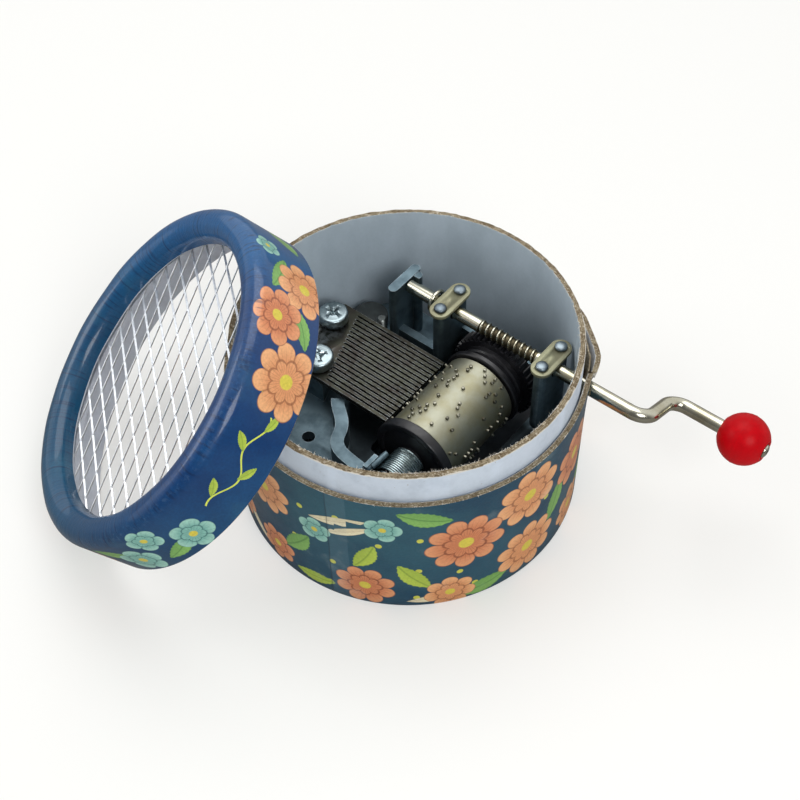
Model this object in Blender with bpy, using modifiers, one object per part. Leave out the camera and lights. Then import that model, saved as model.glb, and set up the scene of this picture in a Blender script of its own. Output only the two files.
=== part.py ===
"""Hand crank music box: a printed cardboard can with an open movement, and its lid leaning on it.

Metres, +Z up. The origin is the centre of the can's underside, and +X runs along the crank shaft
towards the knob. The shaft turns a worm, the worm turns the gear of the pinned drum, and the comb's
teeth end just short of the pins.
"""
import math

import bmesh
import bpy
from mathutils import Matrix, Vector

# Can: can_room is the least gap between the movement and the collar, and hole_strip is the paper over
# the crank's hole
can_room = 0.00155
hole_strip = 0.00145
tube_wall = 0.0011
collar_wall = 0.0013
collar_rise = 0.0070
bottom_board = 0.0020

# Clearance between pieces that touch or run in each other, and how far cutters run past a face
clearance = 0.0003
overrun = 0.0010
weld = 0.00001

# Lid, in its own frame: open edge at zero, grille side up
lid_ring_height = 0.0013
lid_rim_width = 0.0066
lid_rim_round = 0.0032
lid_grille_depth = 0.0051
lid_ring_width = 0.0032
lid_tilt = math.radians(44.8)
lid_bearing = math.radians(225.1)
lid_sidestep = -0.0022

# Grille of expanded metal
grille_thickness = 0.0006
diamond_length = 0.0100
diamond_width = 0.00465
bond_length = 0.0013
strand_width = 0.00066
grille_border = 0.0024
grille_turn = math.radians(-15.5)

# Crank shaft, its worm and the crank
shaft_y = 0.01794
shaft_z = 0.0315
shaft_radius = 0.00145
shaft_start = -0.0136
worm_start = 0.0050
worm_end = 0.0189
worm_pitch = 0.0014
worm_crest_radius = 0.0016
worm_root_radius = 0.00095
worm_crest_half = 0.00009
worm_root_half = 0.00034
crank_bend_x = 0.0444
crank_throw = 0.0120
crank_angle = math.radians(-22.4)
crank_bend_radius = 0.0034
peened_radius = 0.0020
peened_length = 0.0007
knob_start = 0.0557
knob_length = 0.0094
knob_radius = 0.0052
knob_face_radius = 0.0023
ring_x = -0.0066
ring_wire = 0.00045

# Drum
drum_x = 0.0096
drum_z = 0.02045
drum_radius = 0.0082
drum_wall = 0.0009
drum_near = -0.0084
drum_far = 0.0118
pin_reach = 0.0006
pin_radius = 0.00024
pins_per_track = 5
flange_radius = 0.0090
flange_thickness = 0.0012
cap_thickness = 0.0022
axle_radius = 0.0009
axle_near = -0.0207
axle_far = 0.0240
plug_length = 0.0030

# Gear, cut to mesh with the worm
gear_teeth = 44
gear_tip_radius = 0.0100
gear_root_radius = 0.0092
gear_tip_half = 0.00018
gear_root_half = 0.00037
gear_face = 0.0034
gear_hub_radius = 0.0078

# Brake spring on the end cap's hub
cap_hub_radius = 0.0027
spring_wire = 0.00026
spring_radius = 0.00345
spring_start = -0.0113
spring_turns = 7
spring_pitch = 0.0009

# Comb
comb_top = 0.0230
comb_thickness = 0.0010
comb_tip_gap = 0.00015
comb_teeth = 18
comb_slot = 0.00034
slot_root_far = -0.0223
slot_root_near = -0.0154
comb_back_far = -0.0296
comb_back_near = -0.0226
comb_screw_places = ((-0.0252, 0.0063), (-0.0198, -0.0048))
comb_screw_radius = 0.0013
comb_screw_head = 0.0032
comb_screw_height = 0.0021
comb_screw_length = 0.0080

# Casting
plate_top = 0.0162
plate_thickness = 0.0026
plate_left = -0.0290
plate_right = 0.0246
plate_near = -0.0212
plate_far = 0.0246
plate_corner = 0.0040
leg_radius = 0.0030
leg_places = ((-0.0212, -0.0130), (-0.0225, 0.0150), (0.0222, -0.0086))
leg_bore = 0.0013
post_width = 0.0029
strap_width = 0.0041
post_reach = 0.0033
post_left_x = -0.0030
post_right_x = 0.0222
thrust_width = 0.0022
thrust_reach = 0.0036
thrust_ear_radius = 0.0011
thrust_ear_reach = 0.0024
arm_width = 0.0027
arm_top = 0.0214
arm_route = ((-0.0116, -0.0086), (-0.0100, -0.0102), (-0.0072, -0.0124), (-0.0057, -0.0145),
             (-0.0047, -0.0168), (-0.0026, -0.0184), (0.0010, -0.0190), (0.0064, -0.0194))
bearing_radius = 0.0030
bearing_length = 0.0024
arm_tab_thickness = 0.0010
arm_tab_top = 0.0238
arm_tab_reach = 0.0018
wall_thickness = 0.0020
wall_top = 0.0246
rail_width = 0.0018
rail_top = 0.0208
plate_hole_place = (-0.0126, -0.0170)
plate_hole_radius = 0.0014

# Straps, rivets and small pieces
strap_thickness = 0.0008
rivet_shank = 0.0007
rivet_head = 0.0013
rivet_height = 0.0006
rivet_length = 0.0032
disc_place = (-0.0226, 0.0159)
disc_radius = 0.0038
disc_thickness = 0.0030
stud_place = (-0.0172, 0.0132)
stud_radius = 0.0008
stud_top = 0.0234
stud_depth = 0.0016
frame_screw_radius = 0.0010
frame_screw_head = 0.0022
frame_screw_length = 0.0085

# Sizes that follow from the ones above
track_pitch = (drum_far - drum_near) / (comb_teeth + 0.6)
comb_near = (drum_near + drum_far) / 2 - track_pitch * comb_teeth / 2
comb_far = (drum_near + drum_far) / 2 + track_pitch * comb_teeth / 2
collar_inner = math.hypot(comb_back_far, comb_far) + can_room
collar_radius = collar_inner + collar_wall
can_radius = collar_radius + clearance + tube_wall
can_height = shaft_z + shaft_radius + 2 * clearance + hole_strip
collar_top = can_height + collar_rise
lid_inner = can_radius - tube_wall
lid_opening = can_radius - lid_rim_width
grille_radius = lid_inner - clearance
grille_field = grille_radius - grille_border
ring_bottom = collar_rise + 2 * clearance
ring_top = ring_bottom + lid_ring_height
grille_bottom = ring_top + clearance
grille_top = grille_bottom + grille_thickness + clearance
lid_height = grille_top + lid_grille_depth
gear_near = shaft_y - gear_face / 2
gear_far = shaft_y + gear_face / 2
gear_middle_radius = gear_teeth * worm_pitch / (2 * math.pi)
worm_middle_radius = shaft_z - drum_z - gear_middle_radius
strap_bottom = shaft_z + shaft_radius + clearance
strap_top = strap_bottom + strap_thickness
post_top = strap_bottom - clearance
plate_bottom = plate_top - plate_thickness
plate_middle = plate_top - plate_thickness / 2
shaft_bore = shaft_radius + clearance
axle_bore = axle_radius + clearance
comb_bottom = comb_top - comb_thickness
pad_top = comb_bottom - clearance
cap_near = drum_near - clearance - cap_thickness
knob_end = knob_start + knob_length
crank_end = knob_end + clearance + peened_length / 2
handle_y = shaft_y + crank_throw * math.cos(crank_angle)
handle_z = shaft_z + crank_throw * math.sin(crank_angle)
board_radius = collar_radius
frame_screw_neck = frame_screw_head - frame_screw_radius + clearance
pin_circle = drum_radius + pin_reach
comb_tip_x = drum_x - math.sqrt((pin_circle + comb_tip_gap) ** 2 - (comb_bottom - drum_z) ** 2)
# The lid's open edge stands on the table and rests on the collar's rim, so its reach follows from both
lid_centre_height = can_radius * math.sin(lid_tilt)
rest_climb = (collar_top - lid_centre_height) / math.sin(lid_tilt)
rest_side = math.sqrt((lid_inner + clearance) ** 2 - rest_climb ** 2) + lid_sidestep
lid_reach = math.sqrt(collar_radius ** 2 - rest_side ** 2) + rest_climb * math.cos(lid_tilt)

for old in list(bpy.data.objects):
    bpy.data.objects.remove(old, do_unlink=True)

part = bpy.data.collections.new("hand_crank_music_box")
cutters = bpy.data.collections.new("cutters")
bpy.context.scene.collection.children.link(part)
bpy.context.scene.collection.children.link(cutters)


def material(name, colour, roughness, metallic):
    made = bpy.data.materials.new(name)
    made.use_nodes = True
    shader = made.node_tree.nodes["Principled BSDF"]
    shader.inputs["Base Color"].default_value = (*colour, 1.0)
    shader.inputs["Roughness"].default_value = roughness
    shader.inputs["Metallic"].default_value = metallic
    return made


printed_paper = material("printed paper", (0.09, 0.20, 0.27), 0.45, 0.0)
lid_paper = material("blue paper", (0.03, 0.10, 0.26), 0.40, 0.0)
white_board = material("white lined board", (0.62, 0.66, 0.68), 0.60, 0.0)
bright_mesh = material("bright mesh", (0.55, 0.57, 0.58), 0.35, 1.0)
zinc = material("zinc casting", (0.26, 0.30, 0.32), 0.45, 1.0)
comb_steel = material("comb steel", (0.14, 0.14, 0.12), 0.45, 1.0)
nickel = material("nickel", (0.62, 0.60, 0.50), 0.22, 1.0)
bright_steel = material("bright steel", (0.60, 0.62, 0.62), 0.20, 1.0)
black_plastic = material("black plastic", (0.015, 0.015, 0.018), 0.40, 0.0)
red_plastic = material("red plastic", (0.70, 0.01, 0.02), 0.25, 0.0)
dark_rubber = material("dark rubber", (0.05, 0.055, 0.06), 0.70, 0.0)


def add(name, mesh, look=None, collection=None):
    ob = bpy.data.objects.new(name, mesh)
    (collection or part).objects.link(ob)
    if look:
        mesh.materials.append(look)
    return ob


def hide_as_cutter(ob):
    for home in list(ob.users_collection):
        home.objects.unlink(ob)
    cutters.objects.link(ob)
    ob.hide_render = True
    ob.display_type = "WIRE"
    return ob


def mesh_of(bm, name):
    bmesh.ops.recalc_face_normals(bm, faces=bm.faces)
    mesh = bpy.data.meshes.new(name)
    bm.to_mesh(mesh)
    bm.free()
    return mesh


def smooth(ob, degrees=35):
    ob.data.shade_smooth()
    ob.data.set_sharp_from_angle(angle=math.radians(degrees))
    return ob


def turned(name, profile, steps, look=None, closed=True):
    """Turns a profile of (radius, height) points round Z, with a Screw modifier."""
    mesh = bpy.data.meshes.new(name)
    points = [(radius, 0.0, height) for radius, height in profile]
    edges = [(i, i + 1) for i in range(len(points) - 1)]
    if closed:
        edges.append((len(points) - 1, 0))
    mesh.from_pydata(points, edges, [])
    ob = add(name, mesh, look)
    screw = ob.modifiers.new("turn", "SCREW")
    screw.axis = "Z"
    screw.steps = screw.render_steps = steps
    screw.use_merge_vertices = True
    screw.merge_threshold = weld
    return settled(ob)


def settled(ob):
    """Applies what an object carries, welds it and points its faces out."""
    graph = bpy.context.evaluated_depsgraph_get()
    mesh = bpy.data.meshes.new_from_object(ob.evaluated_get(graph))
    bm = bmesh.new()
    bm.from_mesh(mesh)
    bmesh.ops.remove_doubles(bm, verts=bm.verts, dist=weld)
    made = mesh_of(bm, ob.name)
    name, place = ob.name, ob.matrix_world.copy()
    homes, looks = list(ob.users_collection), list(mesh.materials)
    bpy.data.objects.remove(ob, do_unlink=True)
    fresh = bpy.data.objects.new(name, made)
    for home in homes:
        home.objects.link(fresh)
    if looks and not made.materials:
        made.materials.append(looks[0])
    fresh.matrix_world = place
    return smooth(fresh)


def bar(name, radius, start, end, sides=24, look=None):
    """A straight round bar between two points."""
    start, end = Vector(start), Vector(end)
    bm = bmesh.new()
    bmesh.ops.create_cone(bm, cap_ends=True, segments=sides, radius1=radius, radius2=radius,
                          depth=(end - start).length)
    ob = add(name, mesh_of(bm, name), look)
    ob.location = (start + end) / 2
    ob.rotation_euler = (end - start).to_track_quat("Z", "Y").to_euler()
    return smooth(ob)


def block(name, low, high, look=None):
    bm = bmesh.new()
    bmesh.ops.create_cube(bm, size=1.0)
    for vert in bm.verts:
        for axis in range(3):
            vert.co[axis] = low[axis] if vert.co[axis] < 0 else high[axis]
    return add(name, mesh_of(bm, name), look)


def plate(name, outlines, bottom, top, look=None):
    """A flat plate with holes: the first outline is its edge, the others are its openings."""
    curve = bpy.data.curves.new(name, "CURVE")
    curve.dimensions = "2D"
    curve.fill_mode = "BOTH"
    curve.extrude = (top - bottom) / 2
    for outline in outlines:
        line = curve.splines.new("POLY")
        line.points.add(len(outline) - 1)
        for point, (x, y) in zip(line.points, outline):
            point.co = (x, y, 0.0, 1.0)
        line.use_cyclic_u = True
    if look:
        curve.materials.append(look)
    ob = bpy.data.objects.new(name, curve)
    part.objects.link(ob)
    ob.location.z = (top + bottom) / 2
    bpy.context.view_layer.update()
    return settled(ob)


def boolean(ob, other, operation):
    step = ob.modifiers.new(operation.lower(), "BOOLEAN")
    step.operation = operation
    step.solver = "EXACT"
    step.object = hide_as_cutter(other)
    return ob


def cut(ob, *others):
    for other in others:
        boolean(ob, other, "DIFFERENCE")


def join(ob, *others):
    for other in others:
        boolean(ob, other, "UNION")


def arc(centre, radius, first, last, count):
    return [(centre[0] + radius * math.cos(first + (last - first) * i / count),
             centre[1] + radius * math.sin(first + (last - first) * i / count)) for i in range(count + 1)]


def circle(centre, radius, count):
    return arc(centre, radius, 0.0, 2 * math.pi, count)[:-1]


def rounded_rectangle(left, near, right, far, radius, count=4):
    points = []
    for cx, cy, first in ((right - radius, far - radius, 0.0), (left + radius, far - radius, 90.0),
                          (left + radius, near + radius, 180.0), (right - radius, near + radius, 270.0)):
        points += arc((cx, cy), radius, math.radians(first), math.radians(first + 90), count)
    return points


def stadium(x, y, radius, reach, count=8):
    """A round-ended outline along Y: its ends are centred reach from the middle."""
    return (arc((x, y + reach), radius, 0.0, math.pi, count)
            + arc((x, y - reach), radius, math.pi, 2 * math.pi, count))


# Can: two tubes and a board, with the crank's hole through both tubes
outer_tube = turned("can_outer_tube", [
    (can_radius, can_height), (can_radius, 0.0), (can_radius - tube_wall, 0.0),
    (can_radius - tube_wall, can_height)],
    72, printed_paper)
collar_bottom = bottom_board + clearance
inner_tube = turned("can_inner_tube", [
    (collar_radius, collar_top), (collar_radius, collar_bottom), (collar_inner, collar_bottom),
    (collar_inner, collar_top)],
    72, white_board)
for tube in (outer_tube, inner_tube):
    cut(tube, bar("crank_hole_" + tube.name, shaft_radius + 2 * clearance, (post_right_x, shaft_y, shaft_z),
                  (can_radius + overrun, shaft_y, shaft_z), 16))
board = turned("can_bottom_board", [
    (0.0, bottom_board), (board_radius, bottom_board), (board_radius, 0.0), (0.0, 0.0)],
               48, white_board, closed=False)
for index, (x, y) in enumerate(leg_places):
    well = turned(f"screw_well_{index}", [
        (0.0, bottom_board + overrun), (frame_screw_radius + clearance, bottom_board + overrun),
        (frame_screw_radius + clearance, frame_screw_neck), (frame_screw_head + clearance, clearance),
        (frame_screw_head + clearance, -overrun), (0.0, -overrun)], 16, closed=False)
    well.location = (x, y, 0.0)
    cut(board, well)

# Lid: leans with the lowest point of its open edge on the table and its skirt over the collar's rim
lid_pose = bpy.data.objects.new("lid_pose", None)
part.objects.link(lid_pose)
lean = Vector((math.cos(lid_bearing), math.sin(lid_bearing), 0.0))
aside = Vector((-math.sin(lid_bearing), math.cos(lid_bearing), 0.0))
lid_pose.location = lean * lid_reach + aside * lid_sidestep + Vector((0, 0, lid_centre_height))
lid_turn = Matrix.Rotation(lid_bearing, 3, "Z") @ Matrix.Rotation(lid_tilt, 3, "Y")
lid_pose.rotation_euler = lid_turn.to_euler()

rim_edge = lid_height - lid_rim_round
rim_inside = arc((lid_opening + lid_rim_round, rim_edge), lid_rim_round, math.pi, math.pi / 2, 3)
rim_outside = arc((can_radius - lid_rim_round, rim_edge), lid_rim_round, math.pi / 2, 0.0, 3)
lid_tube = turned("lid_outer_tube", [
    (can_radius, 0.0), (lid_inner, 0.0), (lid_inner, grille_top),
    (lid_opening, grille_top)] + rim_inside + rim_outside,
    60, lid_paper)

holes = []
columns = int(grille_field / diamond_width) + 1
for i in range(-2 * columns, 2 * columns + 1):
    for j in range(-columns, columns + 1):
        if (i + j) % 2:
            continue
        cx, cy = i * diamond_width / 2, j * diamond_length / 2
        half_x = diamond_width / 2 - strand_width / 2 * math.hypot(1.0, diamond_width / diamond_length)
        half_y = diamond_length / 2 - strand_width / 2 * math.hypot(1.0, diamond_length / diamond_width)
        flat = bond_length / 2
        corners = [(cx + half_x, cy - flat), (cx + half_x, cy + flat), (cx, cy + half_y),
                   (cx - half_x, cy + flat), (cx - half_x, cy - flat), (cx, cy - half_y)]
        corners = [(x * math.cos(grille_turn) - y * math.sin(grille_turn),
                    x * math.sin(grille_turn) + y * math.cos(grille_turn)) for x, y in corners]
        if max(math.hypot(*corner) for corner in corners) < grille_field:
            holes.append(corners)
print("grille gaps:", len(holes))
grille = plate("lid_grille", [circle((0.0, 0.0), grille_radius, 64)] + holes,
               grille_bottom, grille_bottom + grille_thickness, bright_mesh)
lid_ring = turned("lid_inner_ring", [
    (grille_radius, ring_top), (grille_radius, ring_bottom), (grille_radius - lid_ring_width, ring_bottom),
    (grille_radius - lid_ring_width, ring_top)], 60, white_board)
for piece in (lid_tube, grille, lid_ring):
    piece.parent = lid_pose

# Casting: one plate with its pad, posts, arm, walls and legs
frame = plate("movement_frame", [
    rounded_rectangle(plate_left, plate_near, plate_right, plate_far, plate_corner),
    rounded_rectangle(drum_x - gear_tip_radius - 2 * clearance, cap_near - 3 * clearance,
                      drum_x + gear_tip_radius + 2 * clearance, gear_far + 2 * clearance,
                      plate_hole_radius),
    circle(plate_hole_place, plate_hole_radius, 12)], plate_bottom, plate_top, zinc)
room = bar("room_in_collar", collar_inner - 4 * clearance, (0, 0, plate_bottom - overrun),
           (0, 0, plate_top + overrun), 72)
boolean(frame, room, "INTERSECT")


def comb_edge(y, near_x, far_x):
    return near_x + (far_x - near_x) * (y - comb_near) / (comb_far - comb_near)


pad_front_near = comb_edge(comb_near, slot_root_near, slot_root_far) - post_width / 4
pad_front_far = comb_edge(comb_far, slot_root_near, slot_root_far) - post_width / 4
pad = plate("comb_pad", [[(comb_back_near, comb_near), (pad_front_near, comb_near),
                          (pad_front_far, comb_far), (comb_back_far, comb_far)]],
            plate_top - overrun, pad_top)
join(frame, pad)
for name, x in (("post_left", post_left_x), ("post_right", post_right_x)):
    post = plate(name, [stadium(x, shaft_y, post_width / 2, post_reach)], plate_middle, post_top)
    join(frame, post)
thrust_x = shaft_start - clearance - thrust_width / 2
thrust = plate("thrust_post", [stadium(thrust_x, shaft_y, thrust_width / 2, thrust_reach)],
               plate_middle, post_top)
ear_place = (thrust_x + thrust_width * 0.7, shaft_y + thrust_ear_reach)
ear = plate("thrust_ear", [circle(ear_place, thrust_ear_radius, 14)],
            plate_top - plate_thickness / 4, post_top - clearance / 2)
join(frame, thrust, ear)
wall = block("far_wall", (post_left_x, gear_far + 2 * clearance, plate_middle),
             (post_right_x, gear_far + 2 * clearance + wall_thickness, wall_top))
rail = block("side_rail", (thrust_x, shaft_y - thrust_reach, plate_middle),
             (post_left_x, shaft_y - thrust_reach + rail_width, rail_top))
join(frame, wall, rail)


def strip(route, width):
    """The outline of a band of even width along a route."""
    points = [Vector(point) for point in route]
    left, right = [], []
    for i, point in enumerate(points):
        run = (points[min(i + 1, len(points) - 1)] - points[max(i - 1, 0)]).normalized()
        side = Vector((-run.y, run.x)) * width / 2
        left.append(tuple(point + side))
        right.append(tuple(point - side))
    return left + right[::-1]


def curved(route, count=4):
    """A smooth route through the given points."""
    points = [Vector(point) for point in route]
    points = [2 * points[0] - points[1]] + points + [2 * points[-1] - points[-2]]
    out = []
    for i in range(1, len(points) - 2):
        a, b, c, d = points[i - 1:i + 3]
        for k in range(count):
            t = k / count
            out.append(0.5 * (2 * b + (c - a) * t + (2 * a - 5 * b + 4 * c - d) * t * t
                              + (3 * b - a - 3 * c + d) * t ** 3))
    out.append(points[-2])
    return [tuple(point) for point in out]


near_bearing = axle_near + clearance
arm = plate("bearing_arm", [strip(curved(arm_route, 3), arm_width)], plate_middle, arm_top)
boss = bar("near_boss", bearing_radius, (drum_x, near_bearing, drum_z),
           (drum_x, near_bearing + bearing_length, drum_z), 20)
boss_web = block("near_boss_web", (drum_x - bearing_radius, near_bearing + clearance, plate_middle),
                 (drum_x + bearing_radius * 0.9, near_bearing + bearing_length - clearance, drum_z))
tab_x = drum_x - spring_radius - spring_wire - clearance - arm_tab_thickness
tab = block("arm_tab", (tab_x, near_bearing + clearance * 2, plate_middle),
            (tab_x + arm_tab_thickness, near_bearing + bearing_length + arm_tab_reach, arm_tab_top))
far_boss = bar("far_boss", bearing_radius, (drum_x, gear_far + clearance, drum_z),
               (drum_x, gear_far + 3 * clearance + wall_thickness, drum_z), 20)
join(frame, arm, boss, boss_web, tab, far_boss)
for index, (x, y) in enumerate(leg_places):
    join(frame, bar(f"leg_{index}", leg_radius, (x, y, bottom_board + clearance),
                    (x, y, plate_top - overrun / 2), 16))
shaft_channel = bar("shaft_channel", shaft_bore, (shaft_start - clearance, shaft_y, shaft_z),
                    (can_radius, shaft_y, shaft_z), 16)
shaft_slot = block("shaft_slot", (shaft_start - clearance, shaft_y - shaft_bore, shaft_z),
                   (can_radius, shaft_y + shaft_bore, strap_top + overrun))
axle_hole = bar("axle_hole", axle_bore, (drum_x, axle_near - overrun, drum_z),
                (drum_x, axle_far + overrun, drum_z), 16)
cut(frame, shaft_channel, shaft_slot, axle_hole)
screw_tip = pad_top + comb_thickness + clearance - comb_screw_length
for index, (x, y) in enumerate(comb_screw_places):
    cut(frame, bar(f"comb_screw_bore_{index}", comb_screw_radius + clearance, (x, y, screw_tip - clearance),
                   (x, y, comb_top), 12))
for index, (x, y) in enumerate(leg_places):
    cut(frame, bar(f"leg_bore_{index}", leg_bore, (x, y, 0.0), (x, y, frame_screw_length + clearance), 12))
cut(frame, bar("stud_bore", stud_radius + clearance, (*stud_place, plate_top - stud_depth - clearance),
               (*stud_place, stud_top), 12))

# Comb: one plate with its slots, longer for the low notes
comb_outline = [(comb_back_far, comb_far), (comb_back_near, comb_near)]
for tooth in range(comb_teeth):
    low = comb_near + tooth * track_pitch
    high = low + track_pitch
    if tooth > 0:
        low += comb_slot / 2
    if tooth < comb_teeth - 1:
        high -= comb_slot / 2
    comb_outline += [(comb_tip_x, low), (comb_tip_x, high)]
    if tooth < comb_teeth - 1:
        root = comb_edge(high, slot_root_near, slot_root_far)
        comb_outline += [(root, high), (root, high + comb_slot)]
comb_holes = [circle(place, comb_screw_radius + clearance, 16) for place in comb_screw_places]
comb = plate("comb", [comb_outline] + comb_holes, comb_bottom, comb_top, comb_steel)

for index, (x, y) in enumerate(comb_screw_places, 1):
    seat = comb_top + clearance
    screw = turned(f"comb_screw_{index}", [
        (0.0, seat + comb_screw_height), (comb_screw_head * 0.55, seat + comb_screw_height * 0.94),
        (comb_screw_head * 0.88, seat + comb_screw_height * 0.68),
        (comb_screw_head, seat + comb_screw_height * 0.30),
        (comb_screw_head, seat), (comb_screw_radius, seat), (comb_screw_radius, seat - comb_screw_length),
        (0.0, seat - comb_screw_length)], 20, bright_steel, closed=False)
    screw.location = (x, y, 0.0)

# Drum: pinned shell, gear, end cap and axle, turned round Z and laid along Y
drum_axis = bpy.data.objects.new("drum_axis", None)
part.objects.link(drum_axis)
drum_axis.location = (drum_x, 0.0, drum_z)
along_y = Matrix.Rotation(-math.pi / 2, 4, "X")


def on_drum(ob):
    """Lays a piece turned round Z along Y, with its height as Y, on the drum's axis."""
    ob.matrix_world = Matrix.Translation((drum_x, 0.0, drum_z)) @ along_y
    ob.parent = drum_axis
    ob.matrix_parent_inverse = drum_axis_inverse
    return ob


drum_axis_inverse = Matrix.Translation((-drum_x, 0.0, -drum_z))
shell = turned("drum_shell", [
    (drum_radius, drum_far), (drum_radius, drum_near), (drum_radius - drum_wall, drum_near),
    (drum_radius - drum_wall, drum_far)], 48, nickel)
pins = bmesh.new()
golden_turn = math.pi * (3 - math.sqrt(5))
for track in range(comb_teeth):
    height = comb_near + (track + 0.5) * track_pitch
    for k in range(pins_per_track):
        count = track * pins_per_track + k
        angle = golden_turn * count * 1.37 + 0.4 * math.sin(3.1 * count)
        made = bmesh.ops.create_cone(pins, cap_ends=True, segments=4, radius1=pin_radius,
                                     radius2=pin_radius, depth=pin_reach + drum_wall / 2)
        middle = drum_radius + (pin_reach - drum_wall / 2) / 2
        place = (Matrix.Rotation(angle, 4, "Z") @ Matrix.Translation((middle, 0.0, height))
                 @ Matrix.Rotation(math.pi / 2, 4, "Y"))
        bmesh.ops.transform(pins, matrix=place, verts=made["verts"])
pin_field = add("pin_field", mesh_of(pins, "pin_field"))
on_drum(pin_field)
join(on_drum(shell), pin_field)

plug_radius = drum_radius - drum_wall - clearance
hub_end = drum_far + clearance
gear = turned("drum_gear", [
    (axle_bore, gear_far), (gear_hub_radius - flange_thickness, gear_far),
    (gear_hub_radius - flange_thickness, gear_near - clearance),
    (gear_hub_radius, gear_near - clearance), (gear_hub_radius, hub_end + flange_thickness),
    (flange_radius, hub_end + flange_thickness), (flange_radius, hub_end), (plug_radius, hub_end),
    (plug_radius, hub_end - plug_length), (axle_bore, hub_end - plug_length)], 30, black_plastic)
on_drum(gear)
worm_slope = worm_pitch / (2 * math.pi * worm_middle_radius)
gear_twist = worm_slope / gear_middle_radius
wheel = bmesh.new()
layers = []
for y in (gear_near, gear_far):
    lean_angle = -(y - shaft_y) * gear_twist
    ring = []
    for tooth in range(gear_teeth):
        middle = math.pi / 2 - 2 * math.pi * tooth / gear_teeth + lean_angle
        for radius, half in ((gear_root_radius, gear_root_half), (gear_tip_radius, gear_tip_half),
                             (gear_tip_radius, -gear_tip_half), (gear_root_radius, -gear_root_half)):
            angle = middle + half / radius
            ring.append(wheel.verts.new((radius * math.cos(angle), y, radius * math.sin(angle))))
    layers.append(ring)
for lower, upper in zip(layers, layers[1:]):
    for i in range(len(lower)):
        k = (i + 1) % len(lower)
        wheel.faces.new((lower[i], lower[k], upper[k], upper[i]))
wheel.faces.new(layers[0])
wheel.faces.new(layers[-1])
toothed = add("gear_teeth_ring", mesh_of(wheel, "gear_teeth_ring"))
toothed.location = (drum_x, 0.0, drum_z)
join(gear, toothed)
cut(gear, bar("gear_bore", axle_bore, (drum_x, gear_near - overrun, drum_z),
              (drum_x, gear_far + overrun, drum_z), 16))

cap_face = cap_near + flange_thickness / 2
hub_tip = near_bearing + bearing_length + clearance
cap = turned("drum_end_cap", [
    (axle_bore, drum_near + plug_length), (plug_radius, drum_near + plug_length),
    (plug_radius, drum_near - clearance), (flange_radius, drum_near - clearance),
    (flange_radius, cap_near), (flange_radius - flange_thickness, cap_near),
    (flange_radius - flange_thickness, cap_face), (cap_hub_radius, cap_face), (cap_hub_radius, hub_tip),
    (axle_bore, hub_tip)], 32, black_plastic)
on_drum(cap)
axle = bar("drum_axle", axle_radius, (drum_x, axle_near, drum_z), (drum_x, axle_far, drum_z),
           16, bright_steel)
axle.parent = drum_axis
axle.matrix_parent_inverse = drum_axis_inverse


def wire(name, points, radius, look, resolution, cyclic=False):
    curve = bpy.data.curves.new(name, "CURVE")
    curve.dimensions = "3D"
    curve.bevel_depth = radius
    curve.bevel_resolution = resolution
    curve.use_fill_caps = not cyclic
    line = curve.splines.new("POLY")
    line.points.add(len(points) - 1)
    for point, place in zip(line.points, points):
        point.co = (*place, 1.0)
    line.use_cyclic_u = cyclic
    curve.materials.append(look)
    ob = bpy.data.objects.new(name, curve)
    part.objects.link(ob)
    bpy.context.view_layer.update()
    return settled(ob)


# Brake spring: one wire wound round the cap's hub
curl_points = 9
coil = []
for step in range(spring_turns * curl_points + 1):
    angle = math.pi + 2 * math.pi * step / curl_points
    y = spring_start - spring_pitch * step / curl_points
    coil.append((drum_x + spring_radius * math.cos(angle), y, drum_z + spring_radius * math.sin(angle)))
least = min(math.dist(a, b) for i, a in enumerate(coil) for b in coil[i + curl_points // 2:])
least -= 2 * spring_wire
print("spring: least gap between turns in mm:", round(least * 1000, 3))
spring = wire("brake_spring", coil, spring_wire, bright_steel, 1)

# Shaft, worm and crank: one bent rod
shaft_left = bar("crank_rod", shaft_radius, (shaft_start, shaft_y, shaft_z),
                 (worm_start, shaft_y, shaft_z), 14, nickel)
core = bar("worm_core", worm_root_radius, (worm_start - overrun, shaft_y, shaft_z),
           (worm_end + overrun, shaft_y, shaft_z), 12)
thread = bmesh.new()
rows = []
thread_points = 12
thread_foot = worm_root_radius * 0.8
thread_turns = (worm_end - worm_start) / worm_pitch
total = int(thread_turns * thread_points)
for step in range(total + 1):
    turn = step / thread_points
    x = worm_start + turn * worm_pitch
    # valley over the gear's middle at the bottom of the shaft
    angle = -math.pi / 2 + 2 * math.pi * ((x - drum_x) / worm_pitch + 0.5)
    row = []
    for radius, shift in ((thread_foot, -worm_root_half), (worm_crest_radius, -worm_crest_half),
                          (worm_crest_radius, worm_crest_half), (thread_foot, worm_root_half)):
        row.append(thread.verts.new((x + shift, shaft_y + radius * math.cos(angle),
                                     shaft_z + radius * math.sin(angle))))
    rows.append(row)
for a, b in zip(rows, rows[1:]):
    for i in range(4):
        k = (i + 1) % 4
        thread.faces.new((a[i], a[k], b[k], b[i]))
thread.faces.new(rows[0])
thread.faces.new(rows[-1])
thread_ob = add("worm_thread", mesh_of(thread, "worm_thread"))


def bent(points, radius, count=5):
    """Rounds the corners of a run of straight lines."""
    points = [Vector(point) for point in points]
    out = [points[0]]
    for before, corner, after in zip(points, points[1:], points[2:]):
        back, on = (before - corner).normalized(), (after - corner).normalized()
        half = back.angle(on) / 2
        centre = corner + (back + on).normalized() * radius / math.sin(half)
        first = corner + back * radius / math.tan(half) - centre
        last = corner + on * radius / math.tan(half) - centre
        for i in range(count + 1):
            turn = Matrix.Rotation(first.angle(last) * i / count, 3, first.cross(last))
            out.append(centre + turn @ first)
    return out + [points[-1]]


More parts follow.
